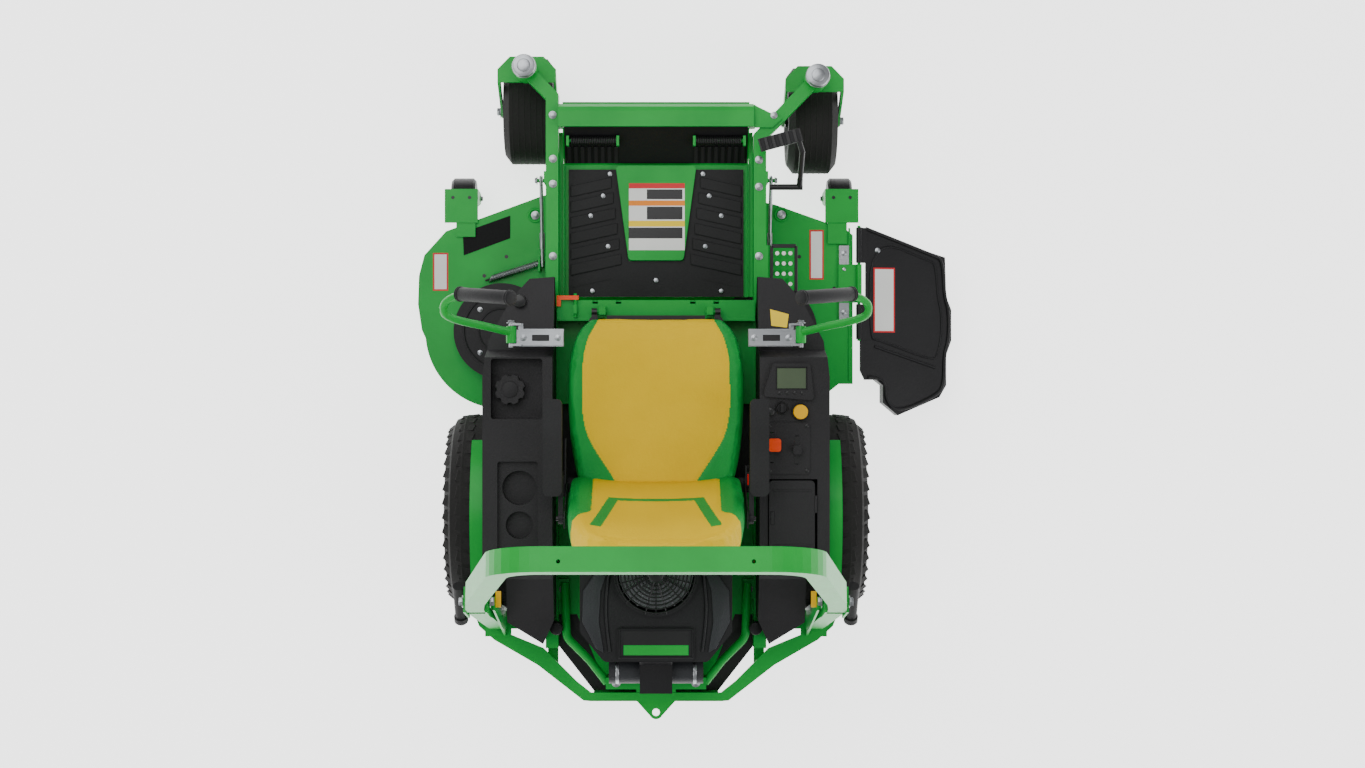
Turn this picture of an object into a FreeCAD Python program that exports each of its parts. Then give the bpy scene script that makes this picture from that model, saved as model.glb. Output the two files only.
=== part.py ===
import FreeCAD, Part
import math
import os

# Zero turn riding mower, in millimetres.  +Z is up, the front faces -Y and the
# discharge chute is on -X.  Everything below is measured from the tractor's own
# centre line and the ground; export() then moves it so that the origin is the
# middle of the overall box, on the ground.
ORIGIN_SHIFT = FreeCAD.Vector(94.153, -3.5, 0)

# --- wheels ---
REAR_AXLE = (395, 300)          # y, z
REAR_TYRE_R = 300               # 24 x 9.5-12
REAR_TYRE_W = 241
REAR_WHEEL_X = 512.5            # middle of the rear tyres, either side
REAR_RIM_R = 155
REAR_SHAFT_R = 12.5
CASTER_TYRE_R = 165             # 13 x 6.5-6
CASTER_TYRE_W = 152
CASTER_RIM_R = 78
CASTER_TRAIL = 98
CASTER_PIVOTS = {"left": (397, -956), "right": (-487, -927)}
CASTER_STEM_R = 12.7
CASTER_BOLT_R = 9.5
RUNNING = 0.05                  # radial clearance of a shaft in its bore

# --- frame ---
RAIL_X = 315                    # middle of each rail
RAIL_W = 38
RAIL_Z = (360, 436)
RAIL_WALL = 3
RAIL_REAR_Y = 800

# --- deck: a 54 inch cut with three spindles ---
DECK_Z = (60, 190)
DECK_WALL = 4.5
SPINDLES = {"left": (482, -165), "centre": (64.5, -405), "right": (-353, -165)}
CHAMBER_R = 243
BLADE_R = 235
BLADE_Z = 75
SPINDLE_R = 12.5
PULLEY_R = 66                   # groove
PULLEY_FLANGE_R = 76
BELT_Z = (214, 226)
BELT_T = 8
SCALP_WHEELS = {"left": (611, -591, 85), "right": (-583, -591, 85)}
SCALP_R = 65
SCALP_W = 76
CHUTE_HINGE = (-636, 206)       # x, z of the hinge pin, which runs along Y
CHUTE_SLOPE = 13.3              # degrees down from the hinge

# --- roll bar ---
ROPS_HINGE = (505, 612, 900)    # x, y, z of the left pin; the right is mirrored
ROPS_LEAN = 11.8                # degrees forward
ROPS_TUBE = (52, 62)            # across, fore and aft
ROPS_RISE = 923                 # pin to the top bar's middle, along the lean
ROPS_CORNER_R = 118             # of the tube's middle line
ROPS_CORNER_X = 276
ROPS_HOLE_X = 233.5
ROPS_HOLE_R = 5
ROPS_TOP_Y = ROPS_HINGE[1] - ROPS_RISE * math.sin(math.radians(ROPS_LEAN))

# --- seat and controls ---
SEAT_HINGE = (-215, 545)        # y, z
LEVER_PIVOT = (-134, 650)       # y, z
LEVER_SWING = (420, 715)        # x, z of the left lever's folding pin
ARMREST_PIVOT = (385, 795)      # y, z
ENGINE = (0, 547)               # x, y of the crankshaft
ENGINE_PLATE_Z = (400, 408)
CONSOLE_TOP = 690


# ---------------------------------------------------------------- helpers
def vec(x, y, z=0):
    return FreeCAD.Vector(x, y, z)


def box(x0, x1, y0, y1, z0, z1):
    low = vec(min(x0, x1), min(y0, y1), min(z0, z1))
    return Part.makeBox(abs(x1 - x0), abs(y1 - y0), abs(z1 - z0), low)


def cyl(centre, r, length, axis=(0, 0, 1)):
    return Part.makeCylinder(r, length, vec(*centre), vec(*axis))


def tube(centre, r, bore, length, axis=(0, 0, 1)):
    return cyl(centre, r, length, axis).cut(cyl(centre, bore, length, axis))


def rod(start, end, r):
    a = vec(*start)
    d = vec(*end) - a
    return Part.makeCylinder(r, d.Length, a, d)


def fuse(shapes):
    shapes = list(shapes)
    whole = shapes[0]
    if len(shapes) > 1:
        whole = whole.multiFuse(shapes[1:])
    return whole.removeSplitter()


def mirror(shape):
    return shape.mirror(vec(0, 0, 0), vec(1, 0, 0))


def face(points):
    corners = [vec(*p) for p in points]
    return Part.Face(Part.makePolygon(corners + corners[:1]))


def plate(points, z0, z1, corner_r=0):
    """An outline in plan, from z0 up to z1, with its upright edges rounded."""
    solid = face([(x, y, z0) for x, y in points]).extrude(vec(0, 0, z1 - z0))
    return round_upright(solid, corner_r) if corner_r else solid


def round_upright(solid, r, axis=2):
    along = [e for e in solid.Edges if is_straight_along(e, axis)]
    return solid.makeFillet(r, along)


def is_straight_along(edge, axis):
    if len(edge.Vertexes) != 2:
        return False
    d = edge.Vertexes[1].Point - edge.Vertexes[0].Point
    flat = [abs(c) for n, c in enumerate(d) if n != axis]
    return max(flat) < 1e-6 and abs(d[axis]) > 1e-6


def side_plate(points, x0, x1):
    """An outline seen from the side (y, z), from x0 to x1."""
    return face([(x0, y, z) for y, z in points]).extrude(vec(x1 - x0, 0, 0))


def end_plate(points, y0, y1):
    """An outline seen from the front (x, z), from y0 to y1."""
    return face([(x, y0, z) for x, z in points]).extrude(vec(0, y1 - y0, 0))


def ribbon(path, width):
    """The outline of a bar of even width along a bent line, with mitred corners."""
    left, right = [], []
    for n, here in enumerate(path):
        sides = []
        if n > 0:
            sides.append(direction(path[n - 1], here))
        if n < len(path) - 1:
            sides.append(direction(here, path[n + 1]))
        nx = -sum(d[1] for d in sides)
        ny = sum(d[0] for d in sides)
        size = math.hypot(nx, ny)
        nx, ny = nx / size, ny / size
        half = width / 2 / (nx * -sides[0][1] + ny * sides[0][0])
        left.append((here[0] + nx * half, here[1] + ny * half))
        right.append((here[0] - nx * half, here[1] - ny * half))
    return left + right[::-1]


def direction(a, b):
    size = math.hypot(b[0] - a[0], b[1] - a[1])
    return (b[0] - a[0]) / size, (b[1] - a[1]) / size


def turned(shape, point, axis, degrees):
    shape = shape.copy()
    shape.rotate(vec(*point), vec(*axis), degrees)
    return shape


def bent_tube(points, r, bend, bore=0):
    """A round tube along straight runs joined by bends."""
    def sweep(radius):
        pieces = []
        spots = [vec(*p) for p in points]
        start = spots[0]
        for before, corner, after in zip(spots, spots[1:], spots[2:]):
            a = (before - corner).normalize()
            b = (after - corner).normalize()
            half = a.getAngle(b) / 2
            back = bend / math.tan(half)
            first = corner + a * back
            last = corner + b * back
            middle = corner + (a + b).normalize() * (bend / math.sin(half))
            top = middle + (corner - middle).normalize() * bend
            pieces += [Part.LineSegment(start, first).toShape()]
            pieces += [Part.Arc(first, top, last).toShape()]
            start = last
        pieces += [Part.LineSegment(start, spots[-1]).toShape()]
        wire = Part.Wire(pieces)
        ring = Part.Wire(Part.Circle(spots[0], spots[1] - spots[0], radius).toShape())
        return wire.makePipeShell([ring], True, False)
    solid = sweep(r)
    return solid.cut(sweep(bore)) if bore else solid


def turned_profile(points, centre, axis="x"):
    """A solid of revolution.  points are (along, radius)."""
    if axis == "x":
        ring = [(centre[0] + a, centre[1], centre[2] + r) for a, r in points]
        way = vec(1, 0, 0)
    else:
        ring = [(centre[0] + r, centre[1], centre[2] + a) for a, r in points]
        way = vec(0, 0, 1)
    return face(ring).revolve(vec(*centre), way, 360)


def export(name, shape):
    solids = shape.Solids
    shape = solids[0] if len(solids) == 1 else Part.Compound(solids)
    shape.translate(ORIGIN_SHIFT)
    shape.exportStep("parts/" + name + ".step")


# ---------------------------------------------------------------- frame
def frame_rails():
    z0, z1 = RAIL_Z
    shapes, hollows = [], []
    paths = [
        [(RAIL_X, RAIL_REAR_Y), (RAIL_X, -872), CASTER_PIVOTS["left"]],
        [(-RAIL_X, RAIL_REAR_Y), (-RAIL_X, -750), CASTER_PIVOTS["right"]],
    ]
    for path in paths:
        shapes.append(plate(ribbon(path, RAIL_W), z0, z1))
        rear = [(path[0][0], RAIL_REAR_Y + 5)] + path[1:]
        inside = ribbon(rear, RAIL_W - 2 * RAIL_WALL)
        hollows.append(plate(inside, z0 + RAIL_WALL, z1 - RAIL_WALL))
    for x, y in CASTER_PIVOTS.values():
        hollows.append(cyl((x, y, 350), CASTER_STEM_R + RUNNING, 125))
    body = fuse(shapes)
    for hollow in hollows[:2]:
        body = body.cut(hollow)
    housings = []
    for x, y in CASTER_PIVOTS.values():
        housings.append(cyl((x, y, 352), 34, 128))
        housings.append(cyl((x, y, 480), 33, 20))
    gusset = [(-296, -845), (-382, -803), (-352, -776), (-296, -776)]
    housings.append(plate(gusset, 436, 444))
    housings.append(box(-296, -301, -845, -778, 385, 444))
    for s in (1, -1):
        housings.append(box(s * 334, s * 340, -645, -610, 305, 436))
        housings.append(cyl((s * 334, -627, 320), 6, 34, (s, 0, 0)))
    housings.append(box(-334, -340, -420, -306, 318, 436))
    step = plate([(-334, -430), (-424, -413), (-424, -284), (-334, -306)], 318, 322)
    for x in (-360, -382, -404):
        for y in (-395, -370, -345, -320):
            step = step.cut(cyl((x, y, 315), 7, 10))
    housings.append(step)
    body = fuse([body] + housings)
    for hollow in hollows[2:]:
        body = body.cut(hollow)
    return body


def front_cross_cover():
    nose = [(-848, 380), (-848, 440), (-838, 456), (-826, 460), (-778, 460), (-778, 380)]
    body = fuse([side_plate(nose, -295.5, 295.5), box(-285, 285, -860, -848, 380, 392)])
    inside = [(-843, 370), (-843, 438), (-835, 452), (-825, 455), (-783, 455), (-783, 370)]
    body = body.cut(side_plate(inside, -290, 290))
    ends = [box(s * 295.5, s * 296, -840, -790, 385, 430) for s in (1, -1)]
    return fuse([body] + ends)


def foot_pan():
    x = 283
    floor = box(-x, x, -673, -267, 337, 340)
    toe = side_plate([(-673, 337), (-673, 341), (-776, 441), (-776, 437)], -x, x)
    shapes = [floor, toe]
    for s in (1, -1):
        shapes.append(box(s * x, s * 296, -770, -267, 360, 364))
        shapes.append(box(s * 280, s * x, -673, -267, 337, 372))
        rod_end = [box(s * e, s * (e + 8), -752, -722, 408, 440) for e in (112, 264)]
        shapes += rod_end
        shapes.append(cyl((s * 115, -738, 424), 6, 152, (s, 0, 0)))
    nose = [(-123.5, -668.6), (123.5, -668.6), (84, -379), (-84, -379)]
    shapes.append(plate(nose, 340, 362, 12).cut(plate(
        [(-119, -664), (119, -664), (80, -383), (-80, -383)], 341, 358)))
    return fuse(shapes)


def foot_mat():
    mat = box(-268, 268, -658, -268, 340, 351)
    hole = [(-125, -680), (125, -680), (85, -377), (-85, -377)]
    pieces = mat.cut(plate(hole, 330, 370))
    ridges = []
    for s in (1, -1):
        for n in range(7):
            y = -640 + 52 * n
            ridge = [(s * 140, y), (s * 258, y + 26), (s * 258, y + 32), (s * 140, y + 6)]
            ridges.append(plate(ridge, 351, 353))
    return fuse([pieces] + ridges)


def seat_riser():
    shapes = [
        box(-296, 296, -251, -189, 514, 520),
        box(-296, 296, -251, -246, 366, 520),
        box(-296, 296, -246, 60, 430, 436).cut(box(-104, 104, -176, -32, 420, 440)),
    ]
    for x in (-120, 120):
        shapes.append(box(x - 3, x + 3, -246, 0, 340, 430))
    shapes.append(box(-123, 123, -180, 0, 334, 340))
    for s in (1, -1):
        shapes.append(box(s * 296, s * 290, -251, -189, 436, 520))
        shapes.append(box(s * 302, s * 310, -150, -118, 436, 662))
        shapes.append(box(s * 296, s * 310, -150, -118, 436, 442))
        shapes.append(cyl((s * 284, *LEVER_PIVOT), 8, 44, (s, 0, 0)))
        shapes.append(box(s * 150, s * 170, -232, -198, 520, 536))
        lug = box(s * 150, s * 170, -228, -206, 530, 558)
        shapes.append(lug)
        shapes.append(cyl((s * 148, *SEAT_HINGE), 5, 44, (s, 0, 0)))
    shapes.append(box(236, 246, -236, -210, 520, 541))
    shapes.append(cyl((241, -270, 530), 5, 70, (0, 1, 0)))
    body = fuse(shapes)
    for x in (182, 112, -110, -180):
        body = body.cut(box(x - 8, x + 8, -252, -240, 506, 521))
    return body


def rear_frame():
    z0, z1 = ENGINE_PLATE_Z
    shapes = [
        plate([(-296, 330), (296, 330), (296, 700), (240, 700), (150, 925), (-150, 925),
               (-240, 700), (-296, 700)], z0, z1),
        box(-151, 151, 885, 920, z1, 470).cut(box(-145, 145, 891, 925, z1 + 4, 464)),
        box(-60, 60, 905, 939, 346, 400),
    ]
    for s in (1, -1):
        guard = [(s * 276, 600, 452), (s * 270, 765, 452), (s * 200, 835, 452),
                 (s * 148, 902, 452)]
        shapes.append(bent_tube(guard, 12.5, 40))
        shapes.append(box(s * 264, s * 296, 590, 650, z1, 440))
        shapes.append(box(s * 334, s * 504, 706, 746, 364, 394))
    hole = cyl((ENGINE[0], ENGINE[1], z0 - 1), 34, 20)
    return fuse(shapes).cut(hole)


def fender_arc(s, x0, x1, y0, y1, r0, r1):
    y, z = REAR_AXLE
    arch = tube((s * x0, y, z), r1, r0, x1 - x0, (s, 0, 0))
    return arch.common(box(s * x0, s * x1, y0, y1, z + 100, z + r1 + 5))


def fenders():
    arches = []
    for s in (1, -1):
        strip = fender_arc(s, 506, 548, 167, 610, 333, 337)
        tail = fender_arc(s, 538, 578, 604, 664, 333, 337)
        arches.append(fuse([strip, tail]))
    return Part.Compound(arches)


def rubber_bars():
    y, z = REAR_AXLE
    bars = []
    for s in (1, -1):
        x = s * 584
        bar = fuse([rod((x, 597, 598), (x, 706, 500), 17),
                    rod((x, 695, 510), (x, 709, 497), 21),
                    box(s * 556, s * 590, 622, 656, 538, 560)])
        bars.append(bar.cut(tube((s * 520, y, z), 337, 300, 90, (s, 0, 0))))
    return Part.Compound(bars)


def rear_bumper():
    outer = [(547, 716), (539, 737), (493, 779), (360, 856), (221, 964), (200, 966)]
    inner = [(524, 716), (518, 734), (462, 755), (343, 804), (242, 905), (198, 940)]
    ring = outer + [(-x, y) for x, y in outer[::-1]]
    hole = inner + [(-x, y) for x, y in inner[::-1]]
    top = plate(ring + hole[::-1], 394, 400)
    wall = plate(ring + [(x * 0.989, y - 6) for x, y in ring[::-1]], 342, 400)
    shapes = [top, wall]
    shapes.append(box(-190, 190, 940, 946, 342, 400))
    for s in (1, -1):
        shapes.append(box(s * 299, s * 331, 770, 886, 354, 360))
    tip = [(-75, 940), (75, 940), (61, 972), (14, 1024), (-14, 1024), (-61, 972)]
    hitch = fuse([plate(tip, 333, 342), cyl((0, 1009, 333), 21, 9)])
    return fuse(shapes + [hitch]).cut(cyl((0, 1009, 320), 11.7, 40))


# ---------------------------------------------------------------- running gear
def caster_fork(side):
    x, y = CASTER_PIVOTS[side]
    axle_y = y + CASTER_TRAIL
    shapes = [
        plate([(x - 52, y - 49), (x + 52, y - 49), (x + 90, y - 10), (x + 90, y + 30),
               (x - 90, y + 30), (x - 90, y - 10)], 340, 350),
        cyl((x, y, 350), 22, 2),
        cyl((x, y, 345), CASTER_STEM_R, 125),
    ]
    for s in (1, -1):
        leg = [(y - 10, 350), (y + 30, 350), (axle_y + 18, 175), (axle_y + 18, 147),
               (axle_y - 18, 147), (axle_y - 18, 180)]
        shapes.append(side_plate(leg, x + s * 83, x + s * 90))
    shapes.append(cyl((x - 104, axle_y, 165), CASTER_BOLT_R, 208, (1, 0, 0)))
    return fuse(shapes)


def caster_tyre(side):
    x, y = CASTER_PIVOTS[side]
    half = CASTER_TYRE_W / 2
    r, rim = CASTER_TYRE_R, CASTER_RIM_R
    profile = [(-half + 12, rim), (-half, rim + 22), (-half, r - 26), (-half + 20, r),
               (half - 20, r), (half, r - 26), (half, rim + 22), (half - 12, rim),
               (half - 22, rim), (half - 9, rim + 24), (half - 9, r - 28), (half - 24, r - 9),
               (-half + 24, r - 9), (-half + 9, r - 28), (-half + 9, rim + 24),
               (-half + 22, rim)]
    return turned_profile(profile, (x, y + CASTER_TRAIL, 165))


def caster_rim(side):
    x, y = CASTER_PIVOTS[side]
    half = CASTER_TYRE_W / 2
    r = CASTER_RIM_R
    hub = 22
    bore = CASTER_BOLT_R + RUNNING
    profile = [(-half - 4, bore), (half + 4, bore), (half + 4, hub), (3, hub), (3, r - 4),
               (half - 10, r - 4), (half - 10, r), (-half + 10, r), (-half + 10, r - 4),
               (-3, r - 4), (-3, hub), (-half - 4, hub)]
    return turned_profile(profile, (x, y + CASTER_TRAIL, 165))


def rear_tyre(s):
    y, z = REAR_AXLE
    half = REAR_TYRE_W / 2
    r, rim = REAR_TYRE_R, REAR_RIM_R
    profile = [(-half + 18, rim), (-half, rim + 45), (-half, r - 60), (-half + 22, r - 14),
               (-half + 55, r), (half - 55, r), (half - 22, r - 14), (half, r - 60),
               (half, rim + 45), (half - 18, rim), (half - 32, rim), (half - 11, rim + 47),
               (half - 11, r - 62), (half - 30, r - 26), (half - 57, r - 13),
               (-half + 57, r - 13), (-half + 30, r - 26), (-half + 11, r - 62),
               (-half + 11, rim + 47), (-half + 32, rim)]
    return turned_profile(profile, (s * REAR_WHEEL_X, y, z))


def rear_rim(s):
    y, z = REAR_AXLE
    half = REAR_TYRE_W / 2
    r = REAR_RIM_R
    bore = REAR_SHAFT_R + RUNNING
    profile = [(-80, bore), (0, bore), (0, 38), (-10, 38), (-10, 110), (-10, r - 4),
               (half - 14, r - 4), (half - 14, r), (-half + 14, r), (-half + 14, r - 4),
               (-16, r - 4), (-16, 38), (-80, 38)]
    if s < 0:
        profile = [(-a, b) for a, b in profile]
    return turned_profile(profile, (s * REAR_WHEEL_X, y, z))


def transaxles():
    y, z = REAR_AXLE
    pieces = []
    for s in (1, -1):
        case = round_upright(box(s * 170, s * 340, y - 85, y + 80, 250, 352), 18)
        shapes = [case, box(s * 300, s * 332, y - 60, y + 60, 350, 360)]
        shapes.append(cyl((s * 330, y, z), 42, 50, (s, 0, 0)))
        shapes.append(cyl((s * 330, y, z), REAR_SHAFT_R, 182, (s, 0, 0)))
        shapes.append(cyl((s * 225, 345, 350), 9, 42))
        shapes.append(cyl((s * 225, 345, 374), 58, 14))
        pieces.append(fuse(shapes))
    return Part.Compound(pieces)


# ---------------------------------------------------------------- mowing deck
def deck_area(inset, z0, z1):
    outline = [(660, -480), (361, -590), (190, -632), (64, -652), (-60, -634),
               (-376, -563), (-597, -485), (-618, -468), (-618, 0), (-574, 0), (-544, 24),
               (-353, -165), (64.5, -405), (482, -165), (718, -130), (736, -170),
               (748, -251), (745, -340), (728, -405)]
    flat = face([(x, y, z0) for x, y in outline])
    if inset:
        flat = flat.makeOffset2D(-inset)
    shapes = [flat.extrude(vec(0, 0, z1 - z0))]
    for x, y in SPINDLES.values():
        shapes.append(cyl((x, y, z0), CHAMBER_R - inset, z1 - z0))
    return fuse(shapes)


def deck_shell():
    z0, z1 = DECK_Z
    shell = deck_area(0, z0, z1).cut(deck_area(DECK_WALL, z0 - 1, z1 - DECK_WALL))
    shell = shell.cut(box(-640, -600, -455, -25, 72, 178))
    shapes = [shell]
    for x, y in SPINDLES.values():
        shapes.append(cyl((x, y, 120), 36, 82))
    for side, (x, y, z) in SCALP_WHEELS.items():
        s = 1 if x > 0 else -1
        a, b = abs(x) - 52, abs(x) + 52
        back = -462 if s > 0 else -440
        shapes.append(box(s * a, s * b, -612, -506, 194, 202))
        shapes.append(box(s * (a + 8), s * (b - 36), -520, back, 188, 198))
        for edge in (a, b - 7):
            leg = [(-560, 202), (-560, 170), (y + 16, 75), (y - 16, 75), (-612, 170),
                   (-612, 202)]
            shapes.append(side_plate(leg, s * edge, s * (edge + 7)))
        shapes.append(cyl((x - 52, y, z), 6, 104, (1, 0, 0)))
    for s in (1, -1):
        for x in (340, 362):
            shapes.append(side_plate([(-400, 188), (-400, 237), (-352, 237), (-352, 188)],
                                     s * x, s * (x + 6)))
    hx, hz = CHUTE_HINGE
    shapes.append(cyl((hx, -496, hz), 5, 361, (0, 1, 0)))
    knuckle = [box(hx, -572, -375, -255, 196, 202), cyl((hx, -375, hz), 9, 120, (0, 1, 0)),
               box(-612, -572, -435, -202, 188, 197)]
    body = fuse(shapes + knuckle)
    for x, y in SPINDLES.values():
        body = body.cut(cyl((x, y, 100), SPINDLE_R + RUNNING, 120))
    return body


def belt_covers():
    covers = []
    run = belt_loop(-9, 207, 233)
    for name in ("left", "right"):
        x, y = SPINDLES[name]
        cover = cyl((x, y, 190), 150, 47).cut(cyl((x, y, 185), 147, 49))
        cover = cover.cut(cyl((x, y, 230), 14, 12))
        covers.append(cover.cut(run))
    return Part.Compound([max(c.Solids, key=lambda s: s.Volume) for c in covers])


def blade(name):
    x, y = SPINDLES[name]
    half = BLADE_R - 8
    bar = [(x - half, y - 32), (x + half, y - 32), (x + half, y + 32), (x - half, y + 32)]
    shapes = [plate(bar, BLADE_Z, BLADE_Z + 5)]
    for s in (1, -1):
        wing = end_plate([(x + s * 150, 75), (x + s * half, 75), (x + s * half, 95)],
                         y + s * 26, y + s * 32)
        shapes.append(wing)
    shapes.append(cyl((x, y, 62), SPINDLE_R, 168))
    shapes.append(cyl((x, y, 64), 26, 54))
    shapes.append(cyl((x, y, 205), PULLEY_R, 29))
    shapes.append(cyl((x, y, 205), PULLEY_FLANGE_R, 6))
    shapes.append(cyl((x, y, 229), PULLEY_FLANGE_R, 4))
    body = turned(fuse(shapes), (x, y, 0), (0, 0, 1), 90 if name == "centre" else 0)
    for n in range(5):
        angle = math.radians(72 * n)
        spot = (x + 42 * math.cos(angle), y + 42 * math.sin(angle), 200)
        body = body.cut(cyl(spot, 14, 40))
    return body


def belt_loop(room, z0, z1):
    """The deck belt as a ring round its pulleys; room thickens it on both faces."""
    turns = [(ENGINE[0], ENGINE[1], 75), SPINDLES["right"] + (PULLEY_R,),
             SPINDLES["centre"] + (PULLEY_R,), SPINDLES["left"] + (PULLEY_R,)]
    outer = belt_area(turns, 0.3 + BELT_T - room, z0, z1)
    return outer.cut(belt_area(turns, 0.3 + room, z0 - 1, z1 + 1))


def belt_area(turns, extra, z0, z1):
    shapes = []
    for n, (x, y, r) in enumerate(turns):
        u, v, q = turns[(n + 1) % len(turns)]
        shapes.append(cyl((x, y, z0), r + extra, z1 - z0))
        gap = math.hypot(u - x, v - y)
        way = math.atan2(v - y, u - x)
        tilt = math.acos((r - q) / gap)
        corners = []
        for turn in (tilt, -tilt):
            c, s = math.cos(way + turn), math.sin(way + turn)
            ends = [(x + (r + extra) * c, y + (r + extra) * s),
                    (u + (q + extra) * c, v + (q + extra) * s)]
            corners += ends if turn > 0 else ends[::-1]
        shapes.append(plate(corners, z0, z1))
    inside = plate([(x, y) for x, y, r in turns], z0, z1)
    return fuse(shapes + [inside])


def scalp_wheel(side):
    x, y, z = SCALP_WHEELS[side]
    half = SCALP_W / 2
    bore = 6 + RUNNING
    profile = [(-half, bore), (half, bore), (half, SCALP_R - 8), (half - 8, SCALP_R),
               (8 - half, SCALP_R), (-half, SCALP_R - 8)]
    return turned_profile(profile, (x, y, z))


def chute():
    hx, hz = CHUTE_HINGE
    edge = [(-640, -494), (-889, -412), (-925, -401), (-929, -277), (-946, -235),
            (-946, -138), (-929, -92), (-929, 4), (-906, 42), (-767, 99), (-717, 59),
            (-717, 4), (-695, -13), (-657, -13), (-642, -42), (-642, -126)]
    flat = face([(x, y, 168) for x, y in edge])
    inner = flat.makeOffset2D(-5)
    body = flat.extrude(vec(0, 0, 32)).cut(inner.extrude(vec(0, 0, 27)))
    body = body.cut(box(-660, -600, -380, -250, 150, 220))
    body = body.cut(box(-664, -630, -500, -10, 150, 194))
    shapes = [body]
    for y0, y1 in ((-490, -380), (-250, -140)):
        shapes.append(cyl((hx, y0, hz), 9, y1 - y0, (0, 1, 0)))
        shapes.append(box(hx, -664, y0, y1, 196, 204))
    rib = rod((-690, -118, 200), (-890, -52, 200), 5)
    body = fuse(shapes + [rib])
    body = body.cut(cyl((hx, -500, hz), 5 + RUNNING, 370, (0, 1, 0)))
    return turned(body, (hx, 0, hz), (0, 1, 0), -CHUTE_SLOPE)


def draft_rod(s):
    x = s * 354
    eye = tube((x - 5, -627, 320), 13, 6 + RUNNING, 10, (1, 0, 0))
    bar = rod((x, -627, 320), (x, -368, 229.8), 5.5)
    bar = bar.cut(cyl((x - 8, -627, 320), 9, 16, (1, 0, 0)))
    return fuse([eye, bar])


def lift_pedal():
    pad = turned(box(-438, -308, -752, -712, 494, 506), (-373, -732, 500), (0, 0, 1), 15)
    shapes = [pad, rod((-440, -700, 492), (-436, -606, 428), 8)]
    shapes.append(cyl((-445, -598, 420), 9, 100, (1, 0, 0)))
    shapes.append(rod((-436, -598, 420), (-436, -620, 438), 9))
    shapes.append(rod((-440, -696, 490), (-424, -746, 499), 8))
    return fuse(shapes)


def assembly_deck():
    parts = {"deck_shell": deck_shell(), "belt_covers": belt_covers()}
    parts["deck_belt"] = belt_loop(0, *BELT_Z)
    for name in SPINDLES:
        parts["blade_" + name] = blade(name)
    for side in SCALP_WHEELS:
        parts["scalp_wheel_" + side] = scalp_wheel(side)
    parts["chute"] = chute()
    parts["draft_rod_left"] = draft_rod(1)
    parts["draft_rod_right"] = draft_rod(-1)
    parts["lift_pedal"] = lift_pedal()
    return parts


# ---------------------------------------------------------------- consoles
def console_body(inset):
    """The left console's outer skin, or the space inside it when inset is given."""
    outline = [(302, -318), (375, -312), (430, -250), (494, -127), (506, -20), (506, 571),
               (440, 571), (440, 705), (335, 772), (302, 700)]
    flat = face([(x, y, 300) for x, y in outline])
    if inset:
        flat = flat.makeOffset2D(-inset)
    block = flat.extrude(vec(0, 0, 500))
    top = CONSOLE_TOP
    side = [(-330, 520), (-330, 572), (-200, 600), (-100, 622), (-78, top), (520, top),
            (572, 650), (700, 590), (800, 560), (800, 436), (-190, 436)]
    if inset:
        side = [(y, z - inset) for y, z in side[:9]]
        side += [(800, 430), (-184, 430)]
        side[0] = (-324, 526)
    block = block.common(side_plate(side, 200, 600))
    y, z = REAR_AXLE
    arch = cyl((355 if not inset else 351, y, z), 318 + inset, 300, (1, 0, 0))
    return block.cut(arch)


def console_shell(recesses):
    wall = 4
    outer = console_body(0)
    inner = console_body(wall)
    for points, floor in recesses:
        outer = outer.cut(plate(points, floor, 720, 8))
        grown = face([(x, y, floor - wall) for x, y in points]).makeOffset2D(wall)
        inner = inner.cut(grown.extrude(vec(0, 0, 200)))
    shell = outer.cut(inner)
    post = box(298, 316, -156, -112, 400, 700)
    return shell.cut(post)


def left_console():
    fuel = [(331, -74), (481, -74), (481, 102), (331, 102)]
    tray = [(344, 226), (462, 226), (462, 350), (462, 500), (344, 500)]
    shell = console_shell([(fuel, 632), (tray, 672)])
    for y, r in ((303, 53), (412, 43)):
        shell = shell.cut(cyl((399, y, 640), r - 3, 40))
        cup = cyl((399, y, 640), r, 32).cut(cyl((399, y, 644), r - 3, 40))
        shell = fuse([shell, cup.cut(cyl((355, *REAR_AXLE), 318, 300, (1, 0, 0)))])
    shell = shell.cut(cyl((427, 16, 600), 33, 60))
    return max(shell.Solids, key=lambda s: s.Volume)


def right_console():
    store = [(332, 286), (458, 286), (458, 490), (332, 490)]
    shell = console_shell([(store, 642)])
    lip = box(326, 470, 277, 500, 684, 700)
    shell = mirror(shell.cut(lip))
    shell = shell.cut(cyl((-420, 81, 600), 12, 120))
    shell = shell.cut(cyl((-366, 70, 600), 10, 120))
    shell = shell.cut(box(-342, -332, 140, 230, 600, 720))
    shell = shell.cut(box(-415, -405, 150, 234, 600, 720))
    return max(shell.Solids, key=lambda s: s.Volume)


def control_panel():
    top = CONSOLE_TOP
    body = plate([(-322, 112), (-322, 262), (-448, 262), (-448, 112)], top, top + 6, 10)
    body = body.cut(box(-342, -332, 140, 230, 600, 720))
    body = body.cut(box(-415, -405, 150, 234, 600, 720))
    shroud = plate([(-340, -60), (-448, -60), (-460, 48), (-310, 36)], top, top + 14, 10)
    shroud = shroud.cut(box(-348, -440, -50, 17, top + 8, top + 20))
    return Part.Compound([body, shroud])


def fuel_tank():
    body = round_upright(box(345, 480, -64, 62, 452, 606), 20)
    body = body.cut(round_upright(box(349, 476, -60, 58, 456, 602), 17))
    foot = fuse([box(322, 360, -60, 60, 436, 442), box(350, 360, -60, 60, 436, 456)])
    neck = tube((427, 16, 604), 32, 26, 42)
    return fuse([body, foot, neck]).cut(cyl((427, 16, 600), 26, 10))


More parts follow.
